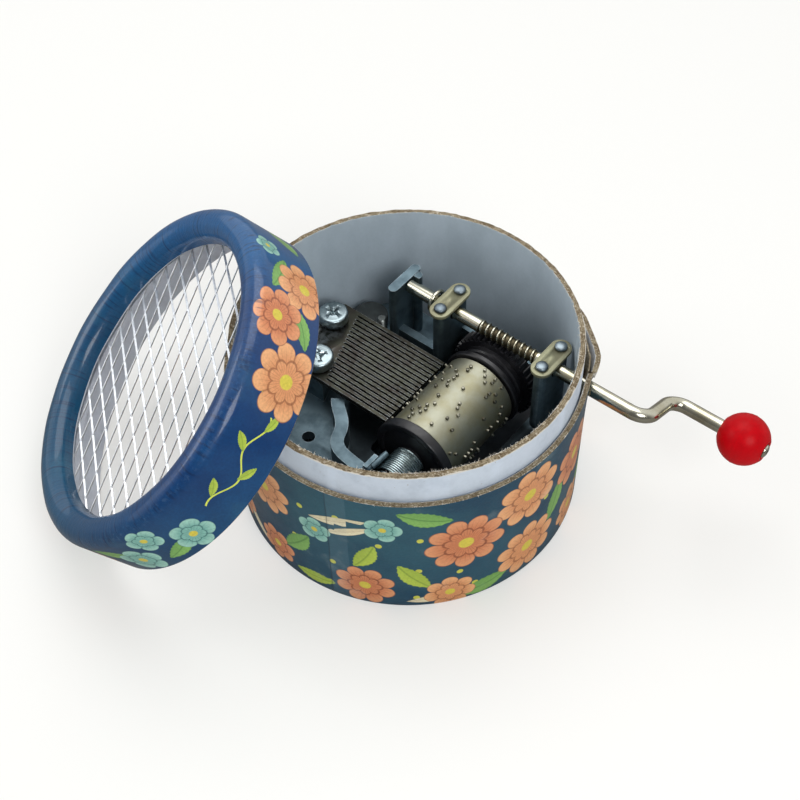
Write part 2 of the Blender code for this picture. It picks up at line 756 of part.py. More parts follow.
route = bent([(worm_end, shaft_y, shaft_z), (crank_bend_x, shaft_y, shaft_z),
              (crank_bend_x, handle_y, handle_z), (crank_end, handle_y, handle_z)], crank_bend_radius)
crank_run = wire("crank_run", route, shaft_radius, nickel, 3)
peened = bar("peened_end", peened_radius, (knob_end + clearance, handle_y, handle_z),
             (knob_end + clearance + peened_length, handle_y, handle_z), 16)
join(shaft_left, core, thread_ob, crank_run, peened)

ring_radius = shaft_bore + ring_wire
ring_points = [(ring_x, shaft_y + ring_radius * math.cos(a), shaft_z + ring_radius * math.sin(a))
               for a in (2 * math.pi * i / 16 for i in range(16))]
wire("shaft_ring", ring_points, ring_wire, nickel, 1, cyclic=True)

knob_profile = [(shaft_bore, knob_length)]
knob_middle = knob_length / 2
for i in range(9):
    share = i / 8
    height = knob_length * (1 - share)
    bulge = math.sqrt(max(0.0, 1 - ((height - knob_middle) / (knob_middle * 1.16)) ** 2))
    swell = (knob_radius - knob_face_radius) * min(1.0, (bulge - 0.5) / 0.5)
    knob_profile.append((knob_face_radius + swell, height))
knob_profile.append((shaft_bore, 0.0))
knob = turned("crank_knob", knob_profile, 30, red_plastic)
knob.rotation_euler = (0.0, math.pi / 2, 0.0)
knob.location = (knob_start, handle_y, handle_z)

# Straps over the posts, with their rivets
for side, x in (("left", post_left_x), ("right", post_right_x)):
    rivet_holes = [circle((x, shaft_y + reach), rivet_shank + clearance, 12)
                   for reach in (post_reach, -post_reach)]
    plate(f"bearing_strap_{side}", [stadium(x, shaft_y, strap_width / 2, post_reach)] + rivet_holes,
          strap_bottom, strap_top, nickel)
    for end, reach in (("far", post_reach), ("near", -post_reach)):
        seat = strap_top + clearance
        rivet = turned(f"strap_rivet_{side}_{end}", [
            (0.0, seat + rivet_height), (rivet_head * 0.6, seat + rivet_height * 0.85),
            (rivet_head, seat + rivet_height * 0.3), (rivet_head, seat), (rivet_shank, seat),
            (rivet_shank, seat - rivet_length), (0.0, seat - rivet_length)],
            16, bright_steel, closed=False)
        rivet.location = (x, shaft_y + reach, 0.0)
        cut(frame, bar(f"rivet_bore_{side}_{end}", rivet_shank + clearance,
                       (x, shaft_y + reach, seat - rivet_length - clearance),
                       (x, shaft_y + reach, strap_top), 12))

# Small pieces on the plate, and the screws from below
disc_bottom = plate_top + clearance
disc = bar("damper_disc", disc_radius, (*disc_place, disc_bottom),
           (*disc_place, disc_bottom + disc_thickness), 28, dark_rubber)
bar("adjusting_screw", stud_radius, (*stud_place, plate_top - stud_depth), (*stud_place, stud_top),
    12, bright_steel)
for index, (x, y) in enumerate(leg_places, 1):
    screw = turned(f"frame_screw_{index}", [
        (0.0, frame_screw_length), (frame_screw_radius, frame_screw_length),
        (frame_screw_radius, frame_screw_neck), (frame_screw_head, clearance),
        (0.0, clearance)], 16, bright_steel, closed=False)
    screw.location = (x, y, 0.0)
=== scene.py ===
"""Hand crank music box: a printed cardboard can, its open movement, and its mesh lid leaning on it."""
import math
import random

import bmesh
import bpy
from mathutils import Matrix, Vector, noise


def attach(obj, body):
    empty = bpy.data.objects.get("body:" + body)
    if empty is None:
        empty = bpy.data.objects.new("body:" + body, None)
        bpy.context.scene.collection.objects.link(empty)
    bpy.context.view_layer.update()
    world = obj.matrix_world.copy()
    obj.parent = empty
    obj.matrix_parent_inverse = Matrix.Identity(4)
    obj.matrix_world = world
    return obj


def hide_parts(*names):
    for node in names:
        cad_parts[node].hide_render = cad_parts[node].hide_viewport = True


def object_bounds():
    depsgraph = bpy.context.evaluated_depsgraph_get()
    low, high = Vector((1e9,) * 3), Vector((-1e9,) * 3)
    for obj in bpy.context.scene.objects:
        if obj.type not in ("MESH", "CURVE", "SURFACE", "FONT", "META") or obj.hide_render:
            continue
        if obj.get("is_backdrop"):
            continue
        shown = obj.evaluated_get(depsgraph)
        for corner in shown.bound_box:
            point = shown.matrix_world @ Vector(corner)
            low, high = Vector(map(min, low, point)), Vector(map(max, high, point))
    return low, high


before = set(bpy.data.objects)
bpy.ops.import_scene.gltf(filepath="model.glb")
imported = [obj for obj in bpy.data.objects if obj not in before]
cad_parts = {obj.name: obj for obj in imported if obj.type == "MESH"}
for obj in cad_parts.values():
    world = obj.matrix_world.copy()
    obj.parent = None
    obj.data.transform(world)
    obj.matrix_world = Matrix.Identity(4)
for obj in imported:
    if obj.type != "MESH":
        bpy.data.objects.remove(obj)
cad_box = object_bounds()

# Camera. The box is seen from the front right and from well above, so that the open can shows its
# movement. The stand-point and the lens are the ones that the rims and posts were measured with.
eye = Vector((0.111372, -0.135639, 0.239707))
sight = Vector((-0.4018, 0.4805, -0.7796)).normalized()
across = sight.cross(Vector((-0.4804, 0.6142, 0.6261))).normalized()
upright = across.cross(sight)
lens = bpy.data.cameras.new("camera")
lens.lens = 61.515
lens.sensor_width = 36.0
lens.clip_start = 0.01
camera = bpy.data.objects.new("camera", lens)
camera.matrix_world = Matrix.Translation(eye) @ Matrix((across, upright, -sight)).transposed().to_4x4()
bpy.context.scene.collection.objects.link(camera)
bpy.context.scene.camera = camera
bpy.context.scene.view_settings.view_transform = "Standard"


# Studio. A white sweep under the box, a broad soft lamp above and a smaller one at each side. The grey
# room behind the camera is what puts the dark bands into the plated metal.
class Value:
    """An output in a shader tree. A sum written with it becomes Math nodes."""

    def __init__(self, socket):
        self.socket = socket
        self.tree = socket.id_data

    __add__ = __radd__ = lambda self, other: reckon("ADD", self, other)
    __mul__ = __rmul__ = lambda self, other: reckon("MULTIPLY", self, other)
    __sub__ = lambda self, other: reckon("SUBTRACT", self, other)
    __rsub__ = lambda self, other: reckon("SUBTRACT", other, self)
    __mod__ = lambda self, other: reckon("MODULO", self, other)
    __pow__ = lambda self, other: reckon("POWER", self, other)
    __gt__ = lambda self, other: reckon("GREATER_THAN", self, other)
    __lt__ = lambda self, other: reckon("LESS_THAN", self, other)
    __abs__ = lambda self: reckon("ABSOLUTE", self)


class Node:
    """A shader node. Its outputs are read by name, and its inputs are set or joined by name."""

    def __init__(self, node):
        self.node = node

    def __getitem__(self, name):
        return Value(self.node.outputs[name])

    def __setitem__(self, name, value):
        if isinstance(value, Value):
            value.tree.links.new(value.socket, self.node.inputs[name])
        else:
            self.node.inputs[name].default_value = value


def tree_of(values):
    """The shader tree that these values are in, some of which may be plain numbers."""
    return next(value.tree for value in values if isinstance(value, Value))


def put(tree, kind, sockets=None, **settings):
    """A shader node with its sockets set or joined to other nodes."""
    made = Node(tree.nodes.new("ShaderNode" + kind))
    for name, value in settings.items():
        setattr(made.node, name, value)
    for name, value in (sockets or {}).items():
        made[name] = value
    return made


def reckon(operation, *values):
    """A sum worked out in the shader."""
    return put(tree_of(values), "Math", dict(enumerate(values)), operation=operation)[0]


def ramp(value, low, high, start=0.0, end=1.0):
    """A soft step from start to end while a value goes from low to high."""
    return put(value.tree, "MapRange",
               {"Value": value, "From Min": low, "From Max": high, "To Min": start, "To Max": end},
               interpolation_type="SMOOTHSTEP")[0]


def ink(red, green, blue):
    """A colour as the eye sees it, 0 to 255, in the linear values that a shader takes."""
    return tuple((c / 255 / 12.92) if c < 11 else ((c / 255 + 0.055) / 1.055) ** 2.4
                 for c in (red, green, blue)) + (1.0,)


room_white = (1.0, 1.0, 1.0, 1.0)
room_dim = 0.42
room = bpy.data.worlds.new("room")
room.use_nodes = True
bpy.context.scene.world = room
tree = room.node_tree
tree.nodes.clear()
path = put(tree, "LightPath")
seen = path["Is Camera Ray"]
mirrored = reckon("MAXIMUM", reckon("MAXIMUM", seen, path["Is Transmission Ray"]), path["Is Glossy Ray"])
facing = put(tree, "TexCoord")["Generated"]
behind_camera = put(tree, "VectorMath", {0: facing, 1: (0.62, -0.76, 0.20)},
                    operation="DOT_PRODUCT")["Value"]
wall_light = ramp(behind_camera, 0.05, 0.75, 1.0, 0.16)
soft = put(tree, "Background", {"Color": room_white, "Strength": room_dim})
wall = put(tree, "Background", {"Color": room_white, "Strength": wall_light})
white = put(tree, "Background", {"Color": room_white, "Strength": 1.0})
with_wall = put(tree, "MixShader", {0: mirrored, 1: soft[0], 2: wall[0]})
with_white = put(tree, "MixShader", {0: seen, 1: with_wall[0], 2: white[0]})
put(tree, "OutputWorld", {"Surface": with_white[0]})

for name, place, size, power in (("overhead_lamp", (-0.14, 0.18, 0.62), 0.55, 2.4),
                                 ("left_lamp", (-0.50, -0.32, 0.36), 0.30, 1.0),
                                 ("right_lamp", (0.44, -0.22, 0.46), 0.30, 1.9)):
    lamp = bpy.data.lights.new(name, "AREA")
    lamp.energy = power
    lamp.size = size
    holder = bpy.data.objects.new(name, lamp)
    holder.matrix_world = (Matrix.Translation(place)
                           @ (-Vector(place)).to_track_quat("-Z", "Y").to_matrix().to_4x4())
    bpy.context.scene.collection.objects.link(holder)

sweep_mesh = bmesh.new()
bmesh.ops.create_grid(sweep_mesh, x_segments=2, y_segments=2, size=3.0)
mesh = bpy.data.meshes.new("sweep")
sweep_mesh.to_mesh(mesh)
sweep_mesh.free()
sweep = bpy.data.objects.new("sweep", mesh)
sweep.data.transform(Matrix.Translation((0.0, 0.0, min(0.0, cad_box[0][2]) - 0.00005)))
bpy.context.scene.collection.objects.link(sweep)
sweep_paper = bpy.data.materials.new("white sweep paper")
sweep_paper.use_nodes = True
tree = sweep_paper.node_tree
tree.nodes.clear()
path = put(tree, "LightPath")
dull = put(tree, "BsdfDiffuse", {"Color": ink(236, 236, 233)})
dark = put(tree, "BsdfDiffuse", {"Color": ink(92, 88, 82)})
glow = put(tree, "Emission", {"Color": ink(255, 255, 253), "Strength": 1.0})
for_metal = put(tree, "MixShader", {0: path["Is Glossy Ray"] * 0.8, 1: dull[0], 2: dark[0]})
lit_sweep = put(tree, "MixShader", {0: path["Is Camera Ray"] * 0.40, 1: for_metal[0], 2: glow[0]})
put(tree, "OutputMaterial", {"Surface": lit_sweep[0]})
sweep.data.materials.append(sweep_paper)
sweep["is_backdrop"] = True


# Can wall. A spirally wound board tube, covered with printed and varnished paper. Its cut rim is raw
# brown board. The crank's hole is slit up to the rim, and the slit's far side springs outwards.
def effect(name, inputs, outputs):
    """An effect that several finishes share, with named inputs and outputs."""
    group = bpy.data.node_groups.new(name, "ShaderNodeTree")
    for label, kind, value in inputs:
        group.interface.new_socket(label, in_out="INPUT",
                                   socket_type="NodeSocket" + kind).default_value = value
    for label, kind in outputs:
        group.interface.new_socket(label, in_out="OUTPUT", socket_type="NodeSocket" + kind)
    return group, Node(group.nodes.new("NodeGroupInput")), Node(group.nodes.new("NodeGroupOutput"))


def use(group, **sockets):
    """Places a shared effect."""
    made = Node(tree_of(sockets.values()).nodes.new("ShaderNodeGroup"))
    made.node.node_tree = group
    for name, value in sockets.items():
        made[name] = value
    return made


def tint(share, below, above, way="MIX"):
    """One colour laid over another."""
    colours = {0: share, 6: below, 7: above}
    return put(tree_of(colours.values()), "Mix", colours, data_type="RGBA", blend_type=way)[2]


def speckle(vector, scale, detail=3.0, stretch=(1.0, 1.0, 1.0), roughness=0.6):
    """Noise on a surface, one over its grain in metres, stretched along an axis if need be."""
    placed = put(vector.tree, "Mapping", {"Vector": vector, "Scale": stretch})[0]
    return put(vector.tree, "TexNoise",
               {"Vector": placed, "Scale": scale, "Detail": detail, "Roughness": roughness})[0]


def split(vector):
    """A vector's three parts."""
    return put(vector.tree, "SeparateXYZ", {0: vector})


def distance(vector):
    """A vector's length."""
    return put(vector.tree, "VectorMath", {0: vector}, operation="LENGTH")["Value"]


def uv(tree, name):
    """One of the piece's UV maps."""
    return put(tree, "UVMap", uv_map=name)[0]


# The print is laid on in layers. A layer's UV map gives each face its place in the nearest motif, and
# a second map says which colours and how many petals: whole numbers are petals, the rest is the ink.
def chosen(share, *colours):
    """One of three colours, by a share under a third, under two thirds, or over."""
    return tint(share > 0.66, tint(share > 0.33, colours[0], colours[1]), colours[2])


# bloom: a round flower of two rings of petals, with drawn outlines and veins
bloom, given, result = effect("printed bloom",
                              [("Colour", "Color", room_white), ("Spot", "Vector", (9, 9, 0)),
                               ("Look", "Float", 9.2)], [("Colour", "Color")])
parts = split(given["Spot"])
petals, share = reckon("FLOOR", given["Look"]), reckon("FRACT", given["Look"])
reach = distance(given["Spot"])
round_count = reckon("ARCTAN2", parts["Y"], parts["X"]) * petals * 0.5
crest = abs(reckon("COSINE", round_count))
trough = abs(reckon("SINE", round_count))
outer_edge = crest ** 0.55 * 0.30 + 0.68
inner_edge = trough ** 0.55 * 0.17 + 0.37
inside = ramp(outer_edge - reach, 0.0, 0.03)
in_ring = ramp(inner_edge - reach, 0.0, 0.03)
outline = ramp(abs(outer_edge - reach), 0.055, 0.015)
ring_line = ramp(abs(inner_edge - reach), 0.05, 0.015)
fine_veins = abs(reckon("SINE", round_count * 4.0))
veins = ramp(fine_veins, 0.40, 0.05) * ramp(reach, 0.95, 0.35)
fold = ramp(crest, 0.30, 0.0) * (1.0 - in_ring)
light_ink = chosen(share, ink(226, 168, 118), ink(216, 148, 104), ink(150, 196, 182))
line_ink = chosen(share, ink(136, 82, 50), ink(124, 66, 44), ink(46, 98, 100))
petal = tint(ramp(reach, 0.25, 0.95),
             chosen(share, ink(200, 128, 82), ink(186, 104, 66), ink(96, 158, 148)), light_ink)
petal = tint(in_ring * 0.35, petal, light_ink)
for drawn, strength in ((veins, 0.5), (fold, 0.6), (ring_line, 0.7), (outline, 0.8)):
    petal = tint(drawn * strength, petal, line_ink)
petal = tint(ramp(reach, 0.20, 0.165), petal, ink(206, 190, 70))
result["Colour"] = tint(inside, given["Colour"], petal)

# leaf: a pointed, toothed leaf with its midrib and side veins, or a cream brush stroke without teeth
leaf, given, result = effect("printed leaf",
                             [("Colour", "Color", room_white), ("Spot", "Vector", (9, 9, 0)),
                              ("Look", "Float", 1.2)], [("Colour", "Color")])
parts = split(given["Spot"])
share = reckon("FRACT", given["Look"])
run = parts["X"]
belly = 1.0 - run * run
arched = parts["Y"] - belly * -0.25
away = abs(arched)
toothed = (share < 0.66) * 0.09
notches = abs(reckon("SINE", run * 15.0)) * toothed
half_width = belly - notches
inside = ramp(half_width - away, 0.0, 0.05)
side_phase = (run - away * 0.35) * 15.0
side_veins = ramp(abs(reckon("SINE", side_phase)), 0.22, 0.04)
drawn = reckon("MAXIMUM", side_veins * 0.45,
               reckon("MAXIMUM", ramp(away, 0.13, 0.04), ramp(half_width - away, 0.14, 0.03)))
vein_ink = chosen(share, ink(70, 122, 62), ink(112, 142, 50), ink(186, 172, 136))
blade = tint(ramp(arched, -0.8, 0.8) * 0.35,
             chosen(share, ink(128, 176, 92), ink(176, 196, 74), ink(226, 216, 182)), vein_ink)
blade = tint(drawn * 0.6, blade, vein_ink)
result["Colour"] = tint(inside, given["Colour"], blade)

# stem: a thin trailing line that sways along the paper
stem, given, result = effect("printed stem",
                             [("Colour", "Color", room_white), ("Place", "Vector", (0, 0, 0)),
                              ("Middle", "Vector", (0, 0, 0)), ("Length", "Float", 10.0),
                              ("Sway", "Float", 1.0), ("Line", "Color", room_white)], [("Colour", "Color")])
off = split(put(stem, "VectorMath", {0: given["Place"], 1: given["Middle"]}, operation="SUBTRACT")[0])
sway = reckon("SINE", off["X"] * 0.55) * given["Sway"]
on_line = ramp(abs(off["Y"] - sway), 0.24, 0.14)
in_length = abs(off["X"]) < given["Length"]
result["Colour"] = tint(on_line * in_length, given["Colour"], given["Line"])

# paper grain: the fine tooth of varnished paper, as a colour to multiply with and a height
paper_grain, given, result = effect("paper grain",
                                    [("Vector", "Vector", (0, 0, 0)), ("Scale", "Float", 2600.0),
                                     ("Strength", "Float", 0.3)], [("Shade", "Color"), ("Height", "Float")])
tooth = put(paper_grain, "TexNoise",
            {"Vector": given["Vector"], "Scale": given["Scale"], "Detail": 3.0, "Roughness": 0.7})[0]
weave = put(paper_grain, "TexVoronoi",
            {"Vector": given["Vector"], "Scale": given["Scale"] * 0.7})["Distance"]
both = weave * 0.35 + tooth * 0.8
lightness = 1.0 + (both - 0.55) * given["Strength"]
result["Shade"] = put(paper_grain, "CombineColor", {0: lightness, 1: lightness, 2: lightness})[0]
result["Height"] = both


def grained(colour, at, scale, strength):
    """A colour with the tooth of paper on it, and the tooth's height."""
    grain = use(paper_grain, Vector=at, Scale=scale, Strength=strength)
    return tint(1.0, colour, grain["Shade"], "MULTIPLY"), grain["Height"]


def finish(name):
    """A new material, its shader, and the object coordinates."""
    made = bpy.data.materials.new(name)
    made.use_nodes = True
    return made, Node(made.node_tree.nodes["Principled BSDF"]), put(made.node_tree, "TexCoord")["Object"]


def relief(shader, height, strength, depth):
    """A bump from a height, its depth in metres."""
    shader["Normal"] = put(height.tree, "Bump",
                           {"Height": height, "Strength": strength, "Distance": depth})[0]


def printed_over(colour, stems=()):
    """The print's layers, the strokes lowest, laid over a ground colour."""
    place, low, high = (uv(colour.tree, name) for name in ("sheet", "looks low", "looks high"))
    low, high = split(low), split(high)
    for middle, length, sway in stems:
        colour = use(stem, Colour=colour, Place=place, Middle=middle, Length=length, Sway=sway,
                     Line=ink(206, 218, 84))["Colour"]
    for layer, motif, look in (("strokes", leaf, low["X"]), ("leaves", leaf, low["Y"]),
                               ("under", bloom, high["X"]), ("over", bloom, high["Y"])):
        colour = use(motif, Colour=colour, Spot=uv(colour.tree, layer), Look=look)["Colour"]
    return colour, place


def lay_print(piece, strokes, leaves, blooms, start=0.0):
    """Writes the print's UV maps, from a bearing on. All places and sizes are in mm on the paper.

    A stroke or leaf is (along, up, half length, half width, turn, look), and a bloom is
    (layer, along, up, radius, turn, look).
    """
    mesh, turn_mm = piece.data, 2 * math.pi * can_radius * 1000
    motifs = ([("strokes", *spot) for spot in strokes] + [("leaves", *spot) for spot in leaves]
              + [(layer, along, up, size, size, turn, look)
                 for layer, along, up, size, turn, look in blooms])
    layers = ("strokes", "leaves", "under", "over")
    names = ("sheet", *layers, "looks low", "looks high")
    for name in names:
        mesh.uv_layers.new(name=name)
    maps = {name: mesh.uv_layers[name] for name in names}
    places = [Vector(((math.atan2(co.y, co.x) - start) * can_radius, co.z + can_radius - co.xy.length))
              * 1000 for co in (vertex.co for vertex in mesh.vertices)]
    for face in mesh.polygons:
        own = [places[index] for index in face.vertices]
        seam = own[0].x
        own = [Vector(((p.x - seam + turn_mm / 2) % turn_mm - turn_mm / 2 + seam, p.y)) for p in own]
        middle = sum(own, Vector((0, 0))) / len(own)
        look = {}
        for layer in layers:
            best = None
            for name, along, up, long, wide, turn, kind in motifs:
                if name == layer:
                    off = Vector(((middle.x - along + turn_mm / 2) % turn_mm - turn_mm / 2, middle.y - up))
                    far = off.length / max(long, wide)
                    if best is None or far < best[0]:
                        best = (far, middle - off, long, wide, turn, kind)
            for p, loop in zip(own, face.loop_indices):
                if best and best[0] < 1.7:
                    off = Matrix.Rotation(-best[4], 2) @ (p - best[1])
                    maps[layer].data[loop].uv = (off.x / best[2], off.y / best[3])
                else:
                    maps[layer].data[loop].uv = (9.0, 9.0)
            look[layer] = best[5] if best else 0.0
        for p, loop in zip(own, face.loop_indices):
            maps["sheet"].data[loop].uv = p
            maps["looks low"].data[loop].uv = (look["strokes"], look["leaves"])
            maps["looks high"].data[loop].uv = (look["under"], look["over"])


peach, coral, aqua, green, lime, cream = 0.16, 0.5, 0.84, 1.16, 1.5, 1.84

can_radius = 0.0360
can_print, shader, at = finish("printed can paper")
ground = tint(ramp(speckle(at, 34.0, 4.0), 0.35, 0.65), ink(20, 62, 86), ink(42, 87, 102))
low_wash = ramp(split(at)["Z"], 0.034, 0.002, 0.0, 0.4)
ground = tint(low_wash, ground, ink(18, 60, 90))
sheet = uv(at.tree, "sheet")
scatter = put(at.tree, "TexVoronoi", {"Vector": sheet, "Scale": 0.115, "Randomness": 0.85},
              voronoi_dimensions="2D")
every_second = ramp(put(at.tree, "SeparateColor", {0: scatter["Color"]})[0], 0.45, 0.46)
dot = ramp(scatter["Distance"], 0.085, 0.070) * every_second
ground = tint(dot * 0.85, ground, ink(206, 206, 70))
ground, place = printed_over(ground)
ground, tooth = grained(ground, at, 2400.0, 0.42)
fade = speckle(at, 160.0, 5.0)
ground = tint(ramp(fade, 0.56, 0.80, 0.0, 0.16), ground, ink(196, 206, 204))
along_sheet = split(place)["X"]
past_seam = along_sheet + fade * 0.5 + 47.8
seam_step = ramp(past_seam, -0.12, 0.12)
overlap = seam_step * ramp(past_seam, 4.2, 4.0)
ground = tint(overlap * 0.07, ground, ink(150, 176, 190))
seam_line = ramp(abs(past_seam), 0.22, 0.05)
ground = tint(seam_line * 0.5, ground, ink(14, 34, 52))
shader["Base Color"] = ground
shader["Roughness"] = ramp(fade, 0.3, 0.7, 0.34, 0.48)
shader["Specular IOR Level"] = 0.30
shader["Coat Weight"] = 0.25
shader["Coat Roughness"] = 0.14
relief(shader, tooth * 0.5 + overlap, 0.35, 0.00010)


def cut_board(name, inner_paper, outer_paper, centre=(0, 0, 0), turn=(0, 0, 0), by_sheet=False):
    """The cut edge of a board tube: brown plies between two torn skins of paper, by radius in metres."""
    made, shader, at = finish(name)
    own = put(at.tree, "Mapping", {"Vector": at, "Location": centre, "Rotation": turn},
              vector_type="TEXTURE")[0]
    flat = put(at.tree, "VectorMath", {0: own, 1: (1.0, 1.0, 0.0)}, operation="MULTIPLY")[0]
    away = distance(flat)
    if by_sheet:
        up_sheet = split(uv(at.tree, "sheet"))["Y"]
        past_edge = (up_sheet + 0.2) % (can_height * 1000)
        away = past_edge * -0.001 + (can_radius + 0.0002)
    ply = 0.00036
    fibres = speckle(at, 2200.0, 5.0)
    clumps = speckle(at, 420.0, 4.0)
    wander = (clumps - 0.5) * 0.0006
    place_in_wall = away + wander
    plies = reckon("SINE", place_in_wall * (2 * math.pi / ply))
    brown = tint(ramp(clumps, 0.35, 0.65), ink(118, 104, 82), ink(154, 142, 118))
    brown = tint(ramp(plies, 0.1, 0.9, 0.0, 0.50), brown, ink(82, 70, 54))
    brown = tint(ramp(fibres, 0.54, 0.66, 0.0, 0.70), brown, ink(204, 196, 178))
    brown = tint(ramp(fibres, 0.46, 0.34, 0.0, 0.70), brown, ink(60, 48, 34))
    torn = reckon("MAXIMUM", ramp(place_in_wall, inner_paper, inner_paper - 0.00006),
                  ramp(place_in_wall, outer_paper, outer_paper + 0.00006))
    brown = tint(torn * 0.8, brown, ink(214, 212, 206))
    shader["Base Color"] = brown
    shader["Roughness"] = 0.95
    shader["Specular IOR Level"] = 0.15
    relief(shader, plies * 0.3 + fibres, 0.9, 0.00012)
    return made


can_height = 0.0350
raw_board = cut_board("cut edge of the can's board", 0.03502, 0.03598, by_sheet=True)
loose_board = cut_board("loosened ply", 0.0, 1.0)
white_paper_back, shader, at = finish("white paper turned in at the slit")
shader["Base Color"] = tint(speckle(at, 1500.0, 4.0), ink(206, 210, 214), ink(182, 184, 186))
shader["Roughness"] = 0.8


def laid_down(name, bm, looks, place=None, sharp=35.0):
    """Puts a finished mesh into the scene, smooth but for its real edges."""
    if place is not None:
        bmesh.ops.transform(bm, matrix=place, verts=bm.verts)
    made = bpy.data.meshes.new(name)
    bm.to_mesh(made)
    bm.free()
    made.shade_smooth()
    made.set_sharp_from_angle(angle=math.radians(sharp))
    for look in looks if isinstance(looks, (list, tuple)) else [looks]:
        made.materials.append(look)
    piece = bpy.data.objects.new(name, made)
    bpy.context.scene.collection.objects.link(piece)
    return piece


def bevelled(bm, edges, width, segments=2):
    """Rounds edges."""
    bmesh.ops.bevel(bm, geom=edges, offset=width, offset_type="OFFSET", affect="EDGES", segments=segments,
                    profile=0.5, material=-1)


def extruded(bm, faces, rise=(0, 0, 0)):
    """Draws faces out of a mesh by a step, and gives the corners of the new ones."""
    made = bmesh.ops.extrude_face_region(bm, geom=faces)["geom"]
    corners = [v for v in made if isinstance(v, bmesh.types.BMVert)]
    bmesh.ops.translate(bm, verts=corners, vec=rise)
    return corners


def joined(bm, other):
    """Adds a second mesh to the first one."""
    spare = bpy.data.meshes.new("spare")
    other.to_mesh(spare)
    other.free()
    bm.from_mesh(spare)
    bpy.data.meshes.remove(spare)


def on_lathe(profile, steps, closed=True):
    """A mesh turned round Z from a profile of (radius, height)."""
    bm = bmesh.new()
    points = [bm.verts.new((radius, 0.0, high)) for radius, high in profile]
    ends = points[1:] + points[:1] if closed else points[1:]
    lines = [bm.edges.new(pair) for pair in zip(points, ends)]
    bmesh.ops.spin(bm, geom=points + lines, cent=(0, 0, 0), axis=(0, 0, 1), angle=2 * math.pi, steps=steps,
                   use_merge=True)
    bmesh.ops.remove_doubles(bm, verts=bm.verts, dist=0.000001)
    bmesh.ops.recalc_face_normals(bm, faces=bm.faces)
    return bm


def pierced(piece, *tools):
    """Cuts tools, given as meshes, out of a finished piece."""
    for bm in tools:
        tool = laid_down("tool", bm, [])
        cut = piece.modifiers.new("cut", "BOOLEAN")
        cut.object = tool
        cut.solver = "EXACT"
        cut.use_hole_tolerant = True
        bpy.context.view_layer.update()
        done = bpy.data.meshes.new_from_object(piece.evaluated_get(bpy.context.evaluated_depsgraph_get()))
        piece.modifiers.clear()
        piece.data = done
        done.name = piece.name
        bpy.data.objects.remove(tool)


def rod_tool(radius, start, end, segments=32):
    """A round bar from one point to another, for drilling or as a pin."""
    bm = bmesh.new()
    start, end = Vector(start), Vector(end)
    aim = (end - start).to_track_quat("Z", "Y").to_matrix().to_4x4()
    bmesh.ops.create_cone(bm, cap_ends=True, segments=segments, radius1=radius, radius2=radius,
                          depth=(end - start).length, matrix=Matrix.Translation((start + end) / 2) @ aim)
    return bm


can_wall = 0.0011
crank_y, crank_z, crank_hole = 0.01794, 0.0315, 0.00205
slit_bearing = math.degrees(math.asin(crank_y / can_radius)) + 1.4
# levels up the wall, closer together near the rim, where it springs out
levels_up = [0.0004 + (can_height - 0.0004) * (1 - (1 - i / 16) ** 1.6) for i in range(17)]
wall_profile = ([(can_radius - 0.0002, 0.0)] + [(can_radius, high) for high in levels_up]
                + [(can_radius - 0.0004, can_height + 0.00005), (can_radius - can_wall, can_height)]
                + [(can_radius - can_wall, high) for high in levels_up[-2::-1]]
                + [(can_radius - can_wall, 0.0)])
bm = on_lathe(wall_profile, 180)
for face in bm.faces:
    middle = face.calc_center_median()
    if abs(face.normal.z) > 0.5:
        face.material_index = 1
    elif face.normal.xy.dot(middle.xy) < 0:
        face.material_index = 2
can_skin = laid_down("can_skin", bm, [can_print, raw_board, white_paper_back])
drill_from, drill_to = (0.02, crank_y, crank_z), (0.045, crank_y, crank_z)
hole = rod_tool(crank_hole, drill_from, drill_to)
slit = bmesh.new()
slit_wide, slit_high = 0.0003, 0.008
bmesh.ops.create_cube(slit, size=1.0, matrix=Matrix.Rotation(math.radians(slit_bearing), 4, "Z")
                      @ Matrix.Translation((can_radius, 0.0, crank_z + slit_high / 2))
                      @ Matrix.Diagonal((0.008, slit_wide, slit_high, 1.0)))
pierced(can_skin, hole, slit)
can_strokes = (
    (-46, 27, 6.5, 1.3, 0.3, cream), (-44, 24.5, 6.0, 1.1, 0.45, cream), (-70, 6, 6.0, 1.2, -0.6, cream),
    (28, 31, 6.0, 1.2, 0.4, cream), (58, 5, 6.5, 1.2, -0.4, cream), (98, 30, 6.0, 1.2, 0.3, cream),
    (-27, 3, 6.0, 1.2, 0.2, cream), (82, 4, 6.0, 1.2, 0.3, cream))
can_leaves = (
    (-17, 3.6, 6.2, 2.6, 0.2, green), (1, 16.5, 6.0, 2.6, 1.3, green), (-31, 11, 5.6, 2.4, -0.9, lime),
    (-29, 31, 6.0, 2.4, -0.3, green), (-41, 17, 5.0, 2.2, 1.1, lime), (-56, 13, 5.6, 2.4, 0.9, green),
    (-52, 3.5, 5.0, 1.9, 0.1, lime), (16, 12, 6.0, 2.6, 0.7, green), (44, 15, 6.0, 2.5, 1.3, green),
    (70, 18, 6.0, 2.4, 0.2, lime), (86, 16, 5.6, 2.3, -0.8, green), (-84, 19, 5.8, 2.4, 0.9, green),
    (-102, 15, 5.8, 2.4, -0.5, lime), (106, 20, 5.6, 2.3, 1.0, green))
